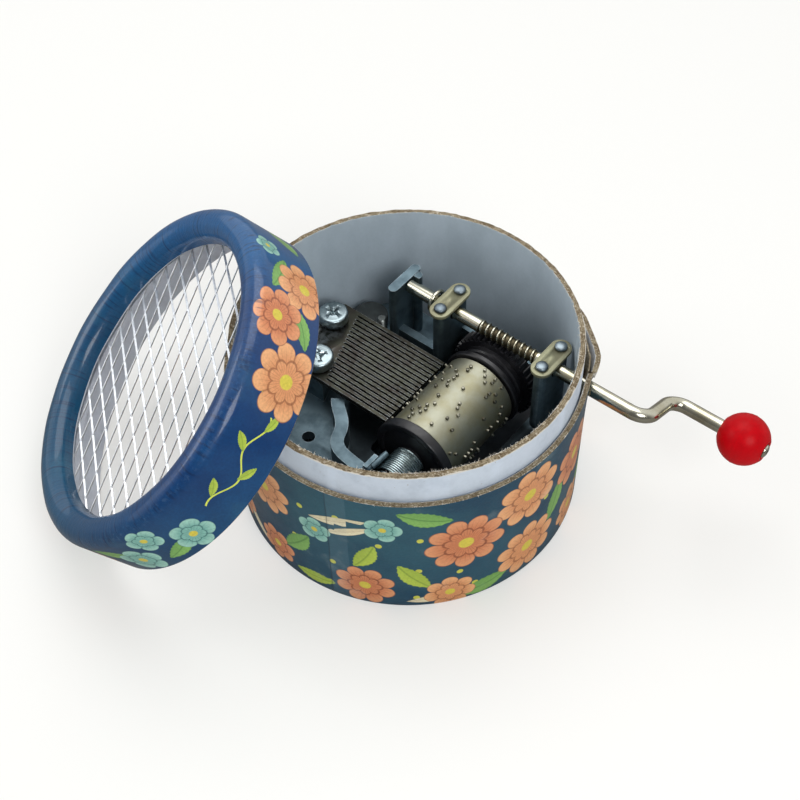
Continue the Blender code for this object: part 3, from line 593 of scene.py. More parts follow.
can_blooms = (("under", -7, 26.5, 8.2, 0.2, 8 + peach), ("over", -21, 20.5, 8.6, 0.5, 9 + coral),
              ("under", -6.5, 8.5, 8.0, 0.1, 9 + peach), ("over", -24, 4.0, 5.6, 0.7, 7 + peach),
              ("under", -37, 27, 4.0, 0.0, 5 + aqua), ("under", -41, 6.5, 6.6, 0.4, 8 + coral),
              ("over", -51, 21, 3.8, 0.3, 5 + aqua), ("under", -64, 24, 7.6, 0.9, 9 + peach),
              ("over", -62, 6, 5.2, 0.2, 7 + coral), ("over", 9, 23, 7.8, 0.3, 8 + coral),
              ("over", 9, 5.5, 5.8, 0.6, 7 + peach), ("under", 25, 20, 8.2, 0.1, 9 + peach),
              ("over", 39, 27, 5.8, 0.8, 7 + coral), ("under", 35, 5, 7.2, 0.2, 8 + peach),
              ("under", 55, 22, 8.0, 0.5, 9 + coral), ("over", 66, 9, 6.2, 0.3, 8 + peach),
              ("under", 79, 26, 7.6, 0.4, 8 + peach), ("under", 94, 9, 8.0, 0.1, 9 + coral),
              ("under", -77, 9, 7.4, 0.6, 8 + coral), ("under", -90, 26, 8.0, 0.2, 9 + peach),
              ("over", -94, 7, 6.2, 0.8, 7 + peach), ("under", -108, 27, 6.6, 0.3, 8 + coral),
              ("over", 109, 8, 6.4, 0.5, 7 + peach))
lay_print(can_skin, can_strokes, can_leaves, can_blooms)

# how far the sprung wall stands out, in mm, by degrees past the slit, and how far down it does
sprung = ((-17, 0.0), (-9, 0.10), (-4, 0.25), (-1, 0.55), (-0.3, 0.6), (0.3, 1.35), (3, 1.75), (6.3, 2.20),
          (9.5, 2.05), (13.5, 1.75), (18, 1.50), (23, 1.55), (29, 1.10), (36, 0.45), (44, 0.0))
flare_foot, slit_foot, slit_reach = 0.0235, 0.0285, 6.0


def within(share):
    """A share held between none and all."""
    return max(0.0, min(1.0, share))


def sprung_out(bearing, high):
    """How far the wall stands out of round, at a bearing in degrees past the slit and a height."""
    for (first, low), (second, far) in zip(sprung, sprung[1:]):
        if first <= bearing < second:
            out = 0.001 * (low + (far - low) * (bearing - first) / (second - first))
            near_rim = within((high - flare_foot) / (can_height - flare_foot)) ** 1.7
            from_slit = min(1.0, abs(bearing) / slit_reach)
            free = within((high - slit_foot) / 0.004) if from_slit < 1 else 1.0
            return out * near_rim * (free + (1 - free) * from_slit)
    return 0.0


for polygon in can_skin.data.polygons:
    middle, normal = polygon.center, polygon.normal
    sideways = abs(normal.xy.dot(middle.xy.normalized())) < 0.5 and abs(normal.z) < 0.9
    if sideways and middle.z > slit_foot + 0.0001:
        polygon.material_index = 1
for vertex in can_skin.data.vertices:
    bearing = math.degrees(math.atan2(vertex.co.y, vertex.co.x)) - slit_bearing
    vertex.co.xy += vertex.co.xy.normalized() * sprung_out(bearing, vertex.co.z)
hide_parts("can_outer_tube")
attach(can_skin, "can")

# the ply that came loose behind the slit, half way out
ply_radius, ply_thick, ply_foot, ply_sweep = 0.03478, 0.00030, 0.0262, 36.0
ply_crumple, ply_ragged = 0.00012, 0.0003
bm = bmesh.new()
bmesh.ops.create_grid(bm, x_segments=40, y_segments=8, size=0.5)
for vertex in bm.verts:
    up = vertex.co.y + 0.5
    bearing, high = 1.0 + (vertex.co.x + 0.5) * ply_sweep, ply_foot + up * (can_height - ply_foot - 0.0002)
    far = ply_radius + 0.52 * sprung_out(bearing, high)
    far += ply_crumple * noise.noise(Vector((bearing * 0.3, high * 300, 0)))
    high += ply_ragged * noise.noise(Vector((bearing * 0.6, 3.0, 0))) * up
    turn = math.radians(bearing + slit_bearing)
    vertex.co = Vector((far * math.cos(turn), far * math.sin(turn), high))
for vertex in extruded(bm, bm.faces[:]):
    vertex.co.xy += vertex.co.xy.normalized() * ply_thick
bmesh.ops.recalc_face_normals(bm, faces=bm.faces)
loose_ply = laid_down("loose_ply", bm, loose_board, sharp=50.0)
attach(loose_ply, "can")

# Collar. A thinner board tube glued inside the can, lined with white paper outside and grey-blue
# paper inside. It was cut with a blade, which left torn white fibres along its brown rim.
collar_white, shader, at = finish("white collar paper")
soil = speckle(at, 210.0, 6.0)
spots = speckle(at, 900.0, 2.0)
pale = tint(ramp(soil, 0.42, 0.72, 0.0, 0.55), ink(196, 207, 220), ink(172, 184, 198))
pale = tint(ramp(spots, 0.71, 0.76, 0.0, 0.5), pale, ink(150, 140, 136))
shader["Base Color"], tooth = grained(pale, at, 1800.0, 0.10)
shader["Roughness"] = ramp(soil, 0.3, 0.7, 0.42, 0.60)
relief(shader, tooth, 0.2, 0.00004)

lining_grey, shader, at = finish("grey-blue lining")
soil = speckle(at, 60.0, 5.0, (1.0, 1.0, 0.5))
scuffs = speckle(at, 90.0, 7.0, (1.0, 1.0, 12.0), 0.75)
dim = tint(ramp(soil, 0.35, 0.70), ink(178, 192, 202), ink(160, 174, 184))
dim = tint(ramp(scuffs, 0.64, 0.74, 0.0, 0.35), dim, ink(104, 112, 118))
shader["Base Color"], tooth = grained(dim, at, 1800.0, 0.12)
shader["Roughness"] = ramp(scuffs, 0.3, 0.7, 0.40, 0.56)
relief(shader, tooth + scuffs, 0.2, 0.00004)

collar_outside, collar_inside = 0.03459, 0.03329
collar_edge = cut_board("cut edge of the collar's board", collar_inside + 0.00016, collar_outside - 0.00013)
collar_top, collar_foot = 0.0420, 0.0023
bm = on_lathe([(collar_outside, collar_foot), (collar_outside, 0.030),
               (collar_outside, collar_top - 0.00025), (collar_outside - 0.0002, collar_top),
               (collar_inside + 0.0006, collar_top + 0.00003), (collar_inside + 0.00015, collar_top),
               (collar_inside, collar_top - 0.0003), (collar_inside, 0.030), (collar_inside, collar_foot)],
              240)
for face in bm.faces:
    middle = face.calc_center_median()
    if abs(face.normal.z) > 0.6:
        face.material_index = 1
    elif face.normal.xy.dot(middle.xy) < 0:
        face.material_index = 2
for vertex in bm.verts:
    if vertex.co.z > collar_top - 0.0004:
        ragged = noise.noise(vertex.co * 900.0) * 0.00016 + noise.noise(vertex.co * 260.0) * 0.00010
        inner = vertex.co.xy.length < collar_inside + 0.0004
        vertex.co.z += ragged
        vertex.co.xy += vertex.co.xy.normalized() * ragged * (1.2 if inner else 0.3)
collar = laid_down("collar_tube", bm, [collar_white, collar_edge, lining_grey])
pierced(collar, rod_tool(crank_hole, drill_from, drill_to))
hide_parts("can_inner_tube")
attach(collar, "can")

torn_white, shader, at = finish("torn paper fibre")
shader["Base Color"] = tint(speckle(at, 3000.0), ink(238, 236, 228), ink(206, 196, 178))
shader["Roughness"] = 0.9


def fibres_along(name, radius, high, count, longest, seed, skip=None):
    """Torn paper fibres along a round cut edge, each a thin three-sided spike."""
    chance = random.Random(seed)
    bm = bmesh.new()
    for _ in range(count):
        bearing = chance.uniform(0, 2 * math.pi)
        patch = 0.5 + 0.5 * noise.noise(Vector((math.cos(bearing) * 3, math.sin(bearing) * 3, seed)))
        if chance.random() > 0.25 + patch or (skip and skip(bearing)):
            continue
        long = longest * chance.uniform(0.25, 1.0) * (0.5 + patch)
        spot = Vector((radius * math.cos(bearing), radius * math.sin(bearing), high))
        lean = Vector((-math.sin(bearing) * chance.uniform(-1.6, 1.6)
                       - math.cos(bearing) * chance.uniform(-0.4, 0.9),
                       math.cos(bearing) * chance.uniform(-1.6, 1.6)
                       - math.sin(bearing) * chance.uniform(-0.4, 0.9),
                       chance.uniform(-0.5, 0.9))).normalized()
        bmesh.ops.create_cone(bm, cap_ends=True, segments=3, radius1=chance.uniform(0.00003, 0.00008),
                              radius2=0.00001, depth=long,
                              matrix=Matrix.Translation(spot + lean * long * 0.35)
                              @ lean.to_track_quat("Z", "Y").to_matrix().to_4x4())
    return laid_down(name, bm, torn_white)


collar_fibres = fibres_along("collar_fibres", collar_inside + 0.00010, collar_top + 0.00002, 900, 0.0007, 3)
rim_fibres = fibres_along("can_rim_fibres", can_radius - 0.00005, can_height + 0.00004, 260, 0.0005, 8,
                          skip=lambda bearing: -17 < math.degrees(bearing) - slit_bearing < 44)
for piece in (collar_fibres, rim_fibres):
    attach(piece, "can")

# Bottom board. A disc of grey board pushed into the can, holding the movement by three screws from
# below. Its grey is painted darker than the board's own, as painted shade for the can's unlit floor.
base_board_painted_dark, shader, at = finish("bare base board")
soil = speckle(at, 120.0, 5.0)
# painted shade: both greys are darker than the board itself, for the shade deep in the can
bare = tint(ramp(soil, 0.35, 0.7), ink(92, 96, 100), ink(72, 74, 76))
shader["Base Color"], tooth = grained(bare, at, 1500.0, 0.22)
shader["Roughness"] = 0.85
relief(shader, tooth, 0.4, 0.00006)


def recoated(node, look):
    """Gives a piece that stays as the CAD has it a finish."""
    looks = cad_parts[node].data.materials
    looks.clear()
    looks.append(look)


recoated("can_bottom_board", base_board_painted_dark)

# Lid wall. A short board tube with a rolled rim, covered with the same printed paper drawn over the
# rim and creased where it turns in. It leans on the collar with its open edge on the table.
lid_tilt, lid_bearing = math.radians(44.8), math.radians(225.1)
lid_reach, lid_aside, lid_lift = 0.0417631, -0.0022, 0.0253641
lid_turn = Matrix.Rotation(lid_bearing, 4, "Z") @ Matrix.Rotation(lid_tilt, 4, "Y")
lid_middle = Vector((math.cos(lid_bearing) * lid_reach - math.sin(lid_bearing) * lid_aside,
                     math.sin(lid_bearing) * lid_reach + math.cos(lid_bearing) * lid_aside, lid_lift))
lid_place = Matrix.Translation(lid_middle) @ lid_turn

lid_print, shader, at = finish("printed lid paper")
patches = speckle(at, 70.0, 3.0)
ground = tint(ramp(speckle(at, 26.0, 4.0), 0.38, 0.62), ink(4, 52, 102), ink(14, 80, 130))
teal_wash = ramp(split(at)["Z"], 0.050, 0.004, 0.0, 0.9)
ground = tint(teal_wash, ground, ink(6, 66, 92))
ground = tint(ramp(patches, 0.55, 0.75, 0.0, 0.45), ground, ink(44, 96, 120))
ground, place = printed_over(ground,
                             (((-8, 6.2, 0), 10.0, 1.3), ((14, 8.0, 0), 9.0, 1.0),
                              ((38, 6.0, 0), 9.0, 1.1)))
ground, tooth = grained(ground, at, 2600.0, 0.60)
up_rim = split(place)["Y"]
on_rim = ramp(up_rim, 11.5, 14.5) * ramp(up_rim, 24.0, 19.5)
pleats = speckle(place, 1.1, 4.0, (1.0, 0.10, 1.0), 0.7)
# painted shade: the pleats' creases are painted darker on the rim, and the same noise also raises them as
# bumps
pleat_painted_shade = on_rim * ramp(pleats, 0.54, 0.62)
ground = tint(pleat_painted_shade * 0.55, ground, ink(4, 26, 60))
rubbed = ramp(up_rim, 12.5, 14.6) * ramp(up_rim, 17.6, 15.2)
ground = tint(rubbed * ramp(speckle(at, 1400.0, 5.0), 0.5, 0.72, 0.0, 0.08), ground, ink(150, 184, 214))
shader["Base Color"] = ground
shader["Roughness"] = ramp(patches, 0.3, 0.7, 0.30, 0.42)
shader["Specular IOR Level"] = 0.25
shader["Coat Weight"] = 0.45
shader["Coat Roughness"] = 0.10
relief(shader, tooth * 0.12 + pleats * on_rim * 1.6, 0.4, 0.00016)

lid_grey, shader, at = finish("grey lid lining")
soil = speckle(at, 90.0, 5.0)
dim = tint(ramp(soil, 0.35, 0.7), ink(208, 214, 224), ink(188, 194, 204))
shader["Base Color"], tooth = grained(dim, at, 1800.0, 0.14)
shader["Roughness"] = 0.75
relief(shader, tooth, 0.3, 0.00005)

lid_high, lid_opening, lid_wall, rim_round = 0.0152, 0.0294, 0.0011, 0.0031
lip_foot = 0.01012


def corner(radius, high, bend, first, last, count):
    """Points round an edge, from one bearing to another in degrees."""
    return [(radius + bend * math.cos(math.radians(first + (last - first) * i / count)),
             high + bend * math.sin(math.radians(first + (last - first) * i / count)))
            for i in range(count + 1)]


lid_profile = ([(can_radius - 0.0002, 0.0), (can_radius, 0.0002), (can_radius, 0.004), (can_radius, 0.008)]
               + corner(can_radius - rim_round, lid_high - rim_round, rim_round, 0, 90, 10)
               + corner(lid_opening + rim_round, lid_high - rim_round, rim_round, 90, 180, 10)
               + [(lid_opening, lip_foot + 0.0004), (lid_opening + 0.0003, lip_foot),
                  (can_radius - lid_wall, lip_foot), (can_radius - lid_wall, 0.0)])
bm = on_lathe(lid_profile, 200)
for face in bm.faces:
    middle = face.calc_center_median()
    away = middle.xy.length
    if middle.z < 0.0002 and abs(face.normal.z) > 0.5:
        face.material_index = 1
    elif away < can_radius - lid_wall + 0.0002 and (face.normal.z < -0.5
                                                    or (middle.z < lip_foot and away > 0.0330)):
        face.material_index = 2
for vertex in bm.verts:
    if vertex.co.z > 0.010:
        outward = Vector((vertex.co.x, vertex.co.y, 0)).normalized()
        vertex.co += outward * noise.noise(vertex.co * 150.0) * 0.00010
        vertex.co.z += noise.noise(vertex.co * 120.0 + Vector((5, 5, 5))) * 0.00012
lid_edge = cut_board("cut edge of the lid's board", can_radius - lid_wall + 0.0001, can_radius + 0.0004,
                     lid_middle, lid_turn.to_euler())
lid_skin = laid_down("lid_skin", bm, [lid_print, lid_edge, lid_grey])
lid_leaves = (
    (-14, 8.6, 2.2, 0.9, 0.5, lime), (-9, 4.2, 2.2, 0.9, -0.6, lime), (-4, 8.8, 2.2, 0.9, 0.7, lime),
    (1, 4.6, 2.2, 0.9, -0.4, lime), (-30, 4.0, 5.0, 1.9, 0.3, green), (-44, 9.5, 5.0, 1.9, -0.5, green),
    (20, 4.4, 4.6, 1.8, 0.4, green), (31, 9.6, 5.2, 2.0, -0.4, green), (45, 4.8, 5.0, 2.0, 0.5, green),
    (60, 8.0, 5.0, 2.0, 0.2, green), (-66, 5.0, 5.0, 1.9, 0.6, green), (84, 6.0, 5.0, 2.0, -0.3, green),
    (-90, 8.5, 5.0, 2.0, 0.4, green))
lid_blooms = (("under", -40, 5.0, 5.0, 0.1, 5 + aqua), ("over", -32.5, 10.2, 4.0, 0.5, 5 + aqua),
              ("under", -25, 4.6, 4.6, 0.9, 5 + aqua), ("under", 9, 5.0, 7.6, 0.3, 8 + peach),
              ("over", 20.5, 10.0, 6.2, 0.7, 7 + coral), ("under", 29.5, 3.6, 6.8, 0.2, 8 + peach),
              ("over", 38, 11.0, 3.0, 0.4, 5 + aqua), ("under", -54, 7.0, 5.2, 0.3, 10 + peach),
              ("under", 54, 5.0, 5.0, 0.6, 9 + coral), ("under", 70, 7.0, 3.2, 0.2, 5 + aqua),
              ("under", 94, 7.0, 5.0, 0.3, 10 + peach), ("over", -78, 7.0, 4.8, 0.4, 9 + coral),
              ("under", -102, 5.0, 3.2, 0.6, 5 + aqua))
lay_print(lid_skin, (), lid_leaves, lid_blooms, math.radians(134))
lid_skin.data.transform(lid_place)
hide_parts("lid_outer_tube")
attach(lid_skin, "lid")

# Lid ring. A short ring of the same board, lined with grey paper and glued inside the lid. It holds the
# grille up against the rolled rim.
ring_outside, ring_inside, ring_top, ring_foot, ring_chamfer = 0.03459, 0.03139, 0.0088, 0.0075, 0.0001
bm = on_lathe([(ring_outside, ring_top), (ring_outside, ring_foot + ring_chamfer),
               (ring_outside - ring_chamfer, ring_foot), (ring_inside + ring_chamfer, ring_foot),
               (ring_inside, ring_foot + ring_chamfer), (ring_inside, ring_top)], 160)
lid_ring = laid_down("lid_ring", bm, [lid_grey], lid_place)
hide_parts("lid_inner_ring")
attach(lid_ring, "lid")

# Grille. Bright expanded steel mesh: a sheet slit and pulled open, so that each strand stands
# twisted between the flat knuckles where four of them meet.
bright_mesh, shader, at = finish("bright expanded steel")
wear = speckle(at, 700.0, 4.0)
streaks = speckle(at, 300.0, 3.0, (6.0, 1.0, 1.0))
steel = tint(ramp(wear, 0.4, 0.7), ink(238, 241, 244), ink(214, 219, 224))
shader["Base Color"] = steel
shader["Metallic"] = 1.0
shader["Roughness"] = ramp(streaks, 0.3, 0.7, 0.34, 0.50)
relief(shader, streaks, 0.2, 0.00002)

diamond_wide, diamond_long = 0.00465, 0.0100
strand_wide, strand_thick, strand_twist = 0.00046, 0.00020, math.radians(52)
mesh_turn, mesh_high, mesh_reach = math.radians(-15.5), 0.00950, 0.0340
bm = bmesh.new()
steps_x, steps_y = int(2 * mesh_reach / diamond_wide) + 3, int(2 * mesh_reach / diamond_long) + 3
for i in range(-steps_x, steps_x + 1):
    for j in range(-steps_y, steps_y + 1):
        if (i + j) % 2:
            continue
        knuckle = Vector((i * diamond_wide / 2, (j + 1) * diamond_long / 2, 0.0))
        for side in (-1, 1):
            other = knuckle + Vector((side * diamond_wide / 2, diamond_long / 2, 0.0))
            if max(knuckle.length, other.length) > mesh_reach:
                continue
            along = (other - knuckle).normalized()
            aim = Matrix((along, Vector((0, 0, 1)).cross(along), Vector((0, 0, 1)))).transposed().to_4x4()
            long = (other - knuckle).length + strand_wide * 0.6
            bmesh.ops.create_cube(bm, size=1.0, matrix=Matrix.Translation((knuckle + other) / 2) @ aim
                                  @ Matrix.Rotation(strand_twist * side, 4, "X")
                                  @ Matrix.Diagonal((long, strand_wide, strand_thick, 1.0)))
        if knuckle.length < mesh_reach:
            bmesh.ops.create_cube(bm, size=1.0,
                                  matrix=Matrix.Translation(knuckle)
                                  @ Matrix.Rotation(math.radians(12), 4, "Y")
                                  @ Matrix.Diagonal((strand_wide * 1.15, strand_wide * 2.6,
                                                     strand_thick * 1.3, 1.0)))
bevelled(bm, bm.edges[:], 0.00005, 1)
lid_mesh = laid_down("lid_mesh", bm, bright_mesh,
                     lid_place @ Matrix.Translation((0, 0, mesh_high)) @ Matrix.Rotation(mesh_turn, 4, "Z"),
                     30.0)
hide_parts("lid_grille")
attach(lid_mesh, "lid")

# Casting. One zinc pressure casting carries everything: a flat plate with a raised pad for the comb,
# three posts for the crank shaft, the long arm to the drum's near bearing, and three hollow feet.
edge_wear, given, result = effect("edge wear", [("Vector", "Vector", (0, 0, 0)), ("Wear", "Float", 0.5),
                                                ("Radius", "Float", 0.0004)], [("Worn", "Float")])
rounded = put(edge_wear, "Bevel", {"Radius": given["Radius"]}, samples=6)[0]
true_face = put(edge_wear, "NewGeometry")["True Normal"]
turned_away = 1.0 - put(edge_wear, "VectorMath", {0: rounded, 1: true_face},
                        operation="DOT_PRODUCT")["Value"]
patchy = speckle(given["Vector"], 900.0, 4.0)
worn = ramp(turned_away, 0.01, 0.12) * ramp(patchy, 0.35, 0.6)
result["Worn"] = worn * given["Wear"]

machined, given, result = effect("handled metal",
                                 [("Vector", "Vector", (0, 0, 0)), ("Colour", "Color", room_white),
                                  ("Stain", "Color", room_white), ("Grain", "Float", 900.0),
                                  ("Streak", "Vector", (1, 1, 1)), ("Rough", "Float", 0.3),
                                  ("Uneven", "Float", 0.2)],
                                 [("Colour", "Color"), ("Roughness", "Float"), ("Height", "Float")])
cloud = put(machined, "TexNoise",
            {"Vector": given["Vector"], "Scale": given["Grain"] * 0.22, "Detail": 4.0, "Roughness": 0.6})[0]
drawn_out = put(machined, "VectorMath", {0: given["Vector"], 1: given["Streak"]}, operation="MULTIPLY")[0]
fine = put(machined, "TexNoise",
           {"Vector": drawn_out, "Scale": given["Grain"], "Detail": 5.0, "Roughness": 0.7})[0]
flecks = put(machined, "TexNoise",
             {"Vector": given["Vector"], "Scale": given["Grain"] * 1.7, "Detail": 1.0})[0]
result["Colour"] = tint(ramp(cloud, 0.35, 0.70), given["Colour"], given["Stain"])
result["Roughness"] = given["Rough"] + (fine * 0.6 + cloud * 0.4 - 0.5) * given["Uneven"]
result["Height"] = fine + flecks * 0.5


def metal(name, colour, stain, rough=0.3, uneven=0.3, grain=900.0, streak=(1, 1, 1), bump=0.15,
          depth=0.00002, wear=0.0, plate=1.0, shade_painter=None):
    """A metal finish of a colour, its stain, its gloss and its grain, with any painted shade laid over its
    colour.
    """
    made, shader, at = finish(name)
    out = use(machined, Vector=at, Colour=colour, Stain=stain, Grain=grain, Streak=streak, Rough=rough,
              Uneven=uneven)
    plated = out["Colour"]
    if wear:
        plated = tint(use(edge_wear, Vector=at, Wear=wear, Radius=0.0003)["Worn"], plated,
                      ink(200, 208, 212))
    # painted shade, where one is given, is laid over the plated colour
    shader["Base Color"] = shade_painter(at, plated) if shade_painter else plated
    shader["Roughness"] = out["Roughness"]
    shader["Metallic"] = plate
    relief(shader, out["Height"], bump, depth)
    return made


def painted_drum_shadow(at, plated):
    """Painted shade: the floor of the casting under the drum, painted almost black where the drum's shadow
    falls.
    """
    spot = split(at)
    past_arm = spot["Y"] * 0.8125 + spot["X"]
    under_drum = ramp(past_arm, -0.0168, -0.0152) * ramp(spot["Y"], 0.0150, 0.0120)
    on_floor = ramp(spot["Z"], 0.0176, 0.0164) * under_drum
    return tint(on_floor * 0.93, plated, ink(14, 15, 16))


# the casting gets painted shade on its floor under the drum
zinc_casting = metal("zinc casting", ink(106, 124, 132), ink(80, 96, 104), 0.50, 0.30, 1100.0, bump=0.30,
                     depth=0.00005, wear=0.35, shade_painter=painted_drum_shadow)
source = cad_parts["movement_frame"]
bm = bmesh.new()
bm.from_mesh(source.data)
bmesh.ops.remove_doubles(bm, verts=bm.verts, dist=0.000002)
bmesh.ops.dissolve_limit(bm, angle_limit=math.radians(1.0), verts=bm.verts, edges=bm.edges)
bmesh.ops.recalc_face_normals(bm, faces=bm.faces)
casting = laid_down("casting", bm, zinc_casting, sharp=40.0)
soften = casting.modifiers.new("cast corners", "BEVEL")
soften.width = 0.00022
soften.segments = 2
soften.limit_method = "ANGLE"
soften.angle_limit = math.radians(38)
soften.harden_normals = True
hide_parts("movement_frame")
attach(casting, "can")

# Feet screws. Pointed steel screws with countersunk heads, driven from under the board into the
# casting's feet.
bright_steel = metal("bright zinc-plated steel", ink(206, 214, 222), ink(160, 172, 184), 0.22, 0.30, 1300.0,
                     bump=0.2)
for number in (1, 2, 3):
    recoated(f"frame_screw_{number}", bright_steel)

# Comb. Hardened steel, ground flat on top and left dull: eighteen teeth parted by fine saw cuts, long
# at the far end for the low notes. Its back runs at a slant, and the back's far corner is cut off.
comb_top, comb_thick = 0.0230, 0.0010
comb_low, comb_pitch, comb_cut, comb_tip = -0.0080742, 0.0010860, 0.00034, 0.0007988
root_near, root_far, back_near, teeth_count = -0.0154, -0.0223, -0.0226, 18
comb_high = comb_low + teeth_count * comb_pitch
comb_steel = metal("ground comb steel", ink(66, 67, 58), ink(60, 56, 52), 0.48, 0.25, 1500.0,
                   (1.0, 0.12, 1.0), 0.25, 0.00002, wear=0.5)
# the outline: the back from its far corner to the near one, then tooth by tooth
outline = [(-0.0259, comb_high), (-0.0279, 0.01065), (-0.0287, 0.0090), (back_near, comb_low)]
for tooth in range(teeth_count):
    low = comb_low + tooth * comb_pitch + (comb_cut / 2 if tooth else 0)
    high = comb_low + (tooth + 1) * comb_pitch - (comb_cut / 2 if tooth < teeth_count - 1 else 0)
    outline += [(comb_tip, low), (comb_tip, high)]
    if tooth < teeth_count - 1:
        root = root_near + (root_far - root_near) * (high - comb_low) / (comb_high - comb_low)
        outline += [(root, high), (root - comb_cut / 2, high + comb_cut / 2), (root, high + comb_cut)]
bm = bmesh.new()
floor_face = bm.faces.new([bm.verts.new((x, y, comb_top - comb_thick)) for x, y in outline])
bm.normal_update()
if floor_face.normal.z > 0:
    floor_face.normal_flip()
extruded(bm, [floor_face], (0, 0, comb_thick))
bmesh.ops.recalc_face_normals(bm, faces=bm.faces)
comb_edges = [e for e in bm.edges if all(v.co.z > comb_top - 0.00001 for v in e.verts)]
bevelled(bm, comb_edges, 0.00007, 1)
bmesh.ops.triangulate(bm, faces=[f for f in bm.faces if len(f.verts) > 4])
comb_body = laid_down("comb_plate", bm, comb_steel, sharp=30.0)
comb_screws = ((-0.0252, 0.0063), (-0.0198, -0.0048))
pierced(comb_body, *[rod_tool(0.00160, (x, y, 0.020), (x, y, 0.026), 24) for x, y in comb_screws])
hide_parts("comb")
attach(comb_body, "can")

# Comb screws. Two zinc-plated machine screws with high pan heads and a cross recess, driven through the
# comb into the casting's pad. The plating is mottled from handling.
screw_zinc = metal("mottled zinc plate", ink(166, 180, 184), ink(104, 118, 122), 0.36, 0.45, 700.0,
                   bump=0.40, depth=0.00004)
head_radius, head_high, head_round, seat = 0.0032, 0.0026, 0.0006, 0.0233
shank_radius, shank_deep = 0.0013, 0.0079
recess_long, recess_wide, recess_deep = head_radius * 1.20, head_radius * 0.30, head_high * 0.80
for number, (x, y) in enumerate(comb_screws, 1):
    bm = on_lathe([(0.0, head_high), (head_radius * 0.45, head_high - 0.00006),
                   (head_radius * 0.72, head_high - 0.00022)]
                  + corner(head_radius - head_round, head_high * 0.94 - head_round, head_round, 72, 0, 6)
                  + [(head_radius, head_high * 0.12), (head_radius - head_high * 0.08, 0.0),
                     (shank_radius, 0.0), (shank_radius, -shank_deep), (0.0, -shank_deep)],
                  48, closed=False)
    turned = Matrix.Rotation(0.5 + number, 4, "Z")
    screw = laid_down(f"comb_pan_screw_{number}", bm, screw_zinc,
                      Matrix.Translation((x, y, seat)) @ turned, 40.0)
    slots = []
    for quarter in (0, math.pi / 2):
        slot = bmesh.new()
        bmesh.ops.create_cube(slot, size=1.0)
        for vertex in slot.verts:
            if vertex.co.z < 0:
                vertex.co.x *= 0.62
                vertex.co.y *= 0.55
        bmesh.ops.transform(slot, verts=slot.verts,
                            matrix=Matrix.Translation((x, y, seat + head_high * 0.98)) @ turned
                            @ Matrix.Rotation(quarter, 4, "Z")
                            @ Matrix.Diagonal((recess_long, recess_wide, recess_deep, 1)))
        slots.append(slot)
    pierced(screw, *slots)
    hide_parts(f"comb_screw_{number}")
    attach(screw, "can")

# Adjusting stud. A short length of steel with a cut thread, screwed upright into the plate behind the
# comb. Its upper end stands free.
dark_thread = metal("dark cut thread", ink(104, 108, 106), ink(62, 64, 64), 0.34, 0.3, 1500.0)
stud_x, stud_y, stud_radius = -0.0175, 0.0131, 0.00112
stud_top, stud_foot, shank_top, stud_shank = 0.0230, 0.0146, 0.0163, 0.0007
thread_pitch, thread_floor = 0.00048, stud_radius * 0.82
profile = [(0.0, stud_top), (stud_radius * 0.7, stud_top)]
for turn in range(13):
    high = stud_top - 0.0003 - thread_pitch * turn
    profile += [(stud_radius, high), (stud_radius, high - thread_pitch / 6),
                (thread_floor, high - thread_pitch / 2), (thread_floor, high - thread_pitch * 2 / 3)]
profile += [(stud_shank, shank_top), (stud_shank, stud_foot), (0.0, stud_foot)]
stud = laid_down("threaded_stud", on_lathe(profile, 28, closed=False), dark_thread,
                 Matrix.Translation((stud_x, stud_y, 0.0)), 25.0)
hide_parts("adjusting_screw")
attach(stud, "can")

# Damper disc. A round pad of dark rubber, moulded with a soft edge and glued to the casting behind the
# comb. Its top has a dull bloom.
rubber, shader, at = finish("dark rubber")
bloomed = speckle(at, 500.0, 5.0)
shader["Base Color"] = tint(ramp(bloomed, 0.4, 0.75), ink(36, 42, 42), ink(62, 70, 70))
shader["Roughness"] = ramp(bloomed, 0.3, 0.7, 0.52, 0.75)
relief(shader, bloomed, 0.35, 0.00006)
disc_x, disc_y, disc_foot = -0.0227, 0.0155, 0.01655
disc_radius, disc_high, disc_round = 0.0038, 0.0022, 0.0004
bm = on_lathe([(0.0, disc_high)]
              + corner(disc_radius - disc_round, disc_high - disc_round, disc_round, 90, 0, 5)
              + [(disc_radius, 0.0002), (disc_radius - 0.0002, 0.0), (0.0, 0.0)], 64, closed=False)
disc = laid_down("rubber_disc", bm, rubber, Matrix.Translation((disc_x, disc_y, disc_foot)), 40.0)
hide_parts("damper_disc")
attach(disc, "can")

# Drum. A nickel-plated brass tube drilled in eighteen tracks, with a hardened pin pressed into each
# hole. The tune is only a pattern here.
drum_x, drum_z, drum_near, drum_far, drum_radius = 0.0096, 0.02045, -0.0084, 0.0118, 0.0082
drum_wall, drum_chamfer = 0.0009, 0.0001
lay_along = Matrix.Translation((drum_x, 0.0, drum_z)) @ Matrix.Rotation(-math.pi / 2, 4, "X")
drum_nickel = metal("satin nickel", ink(152, 152, 136), ink(142, 138, 112), 0.50, 0.16, 900.0,
                    (14.0, 1.0, 14.0), 0.16)
bm = on_lathe([(drum_radius, drum_far - drum_chamfer), (drum_radius, drum_near + drum_chamfer),
               (drum_radius - drum_chamfer, drum_near), (drum_radius - drum_wall, drum_near),
               (drum_radius - drum_wall, drum_far), (drum_radius - drum_chamfer, drum_far)], 128)
drum = laid_down("pinned_drum", bm, drum_nickel, lay_along)
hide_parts("drum_shell")
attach(drum, "drum")

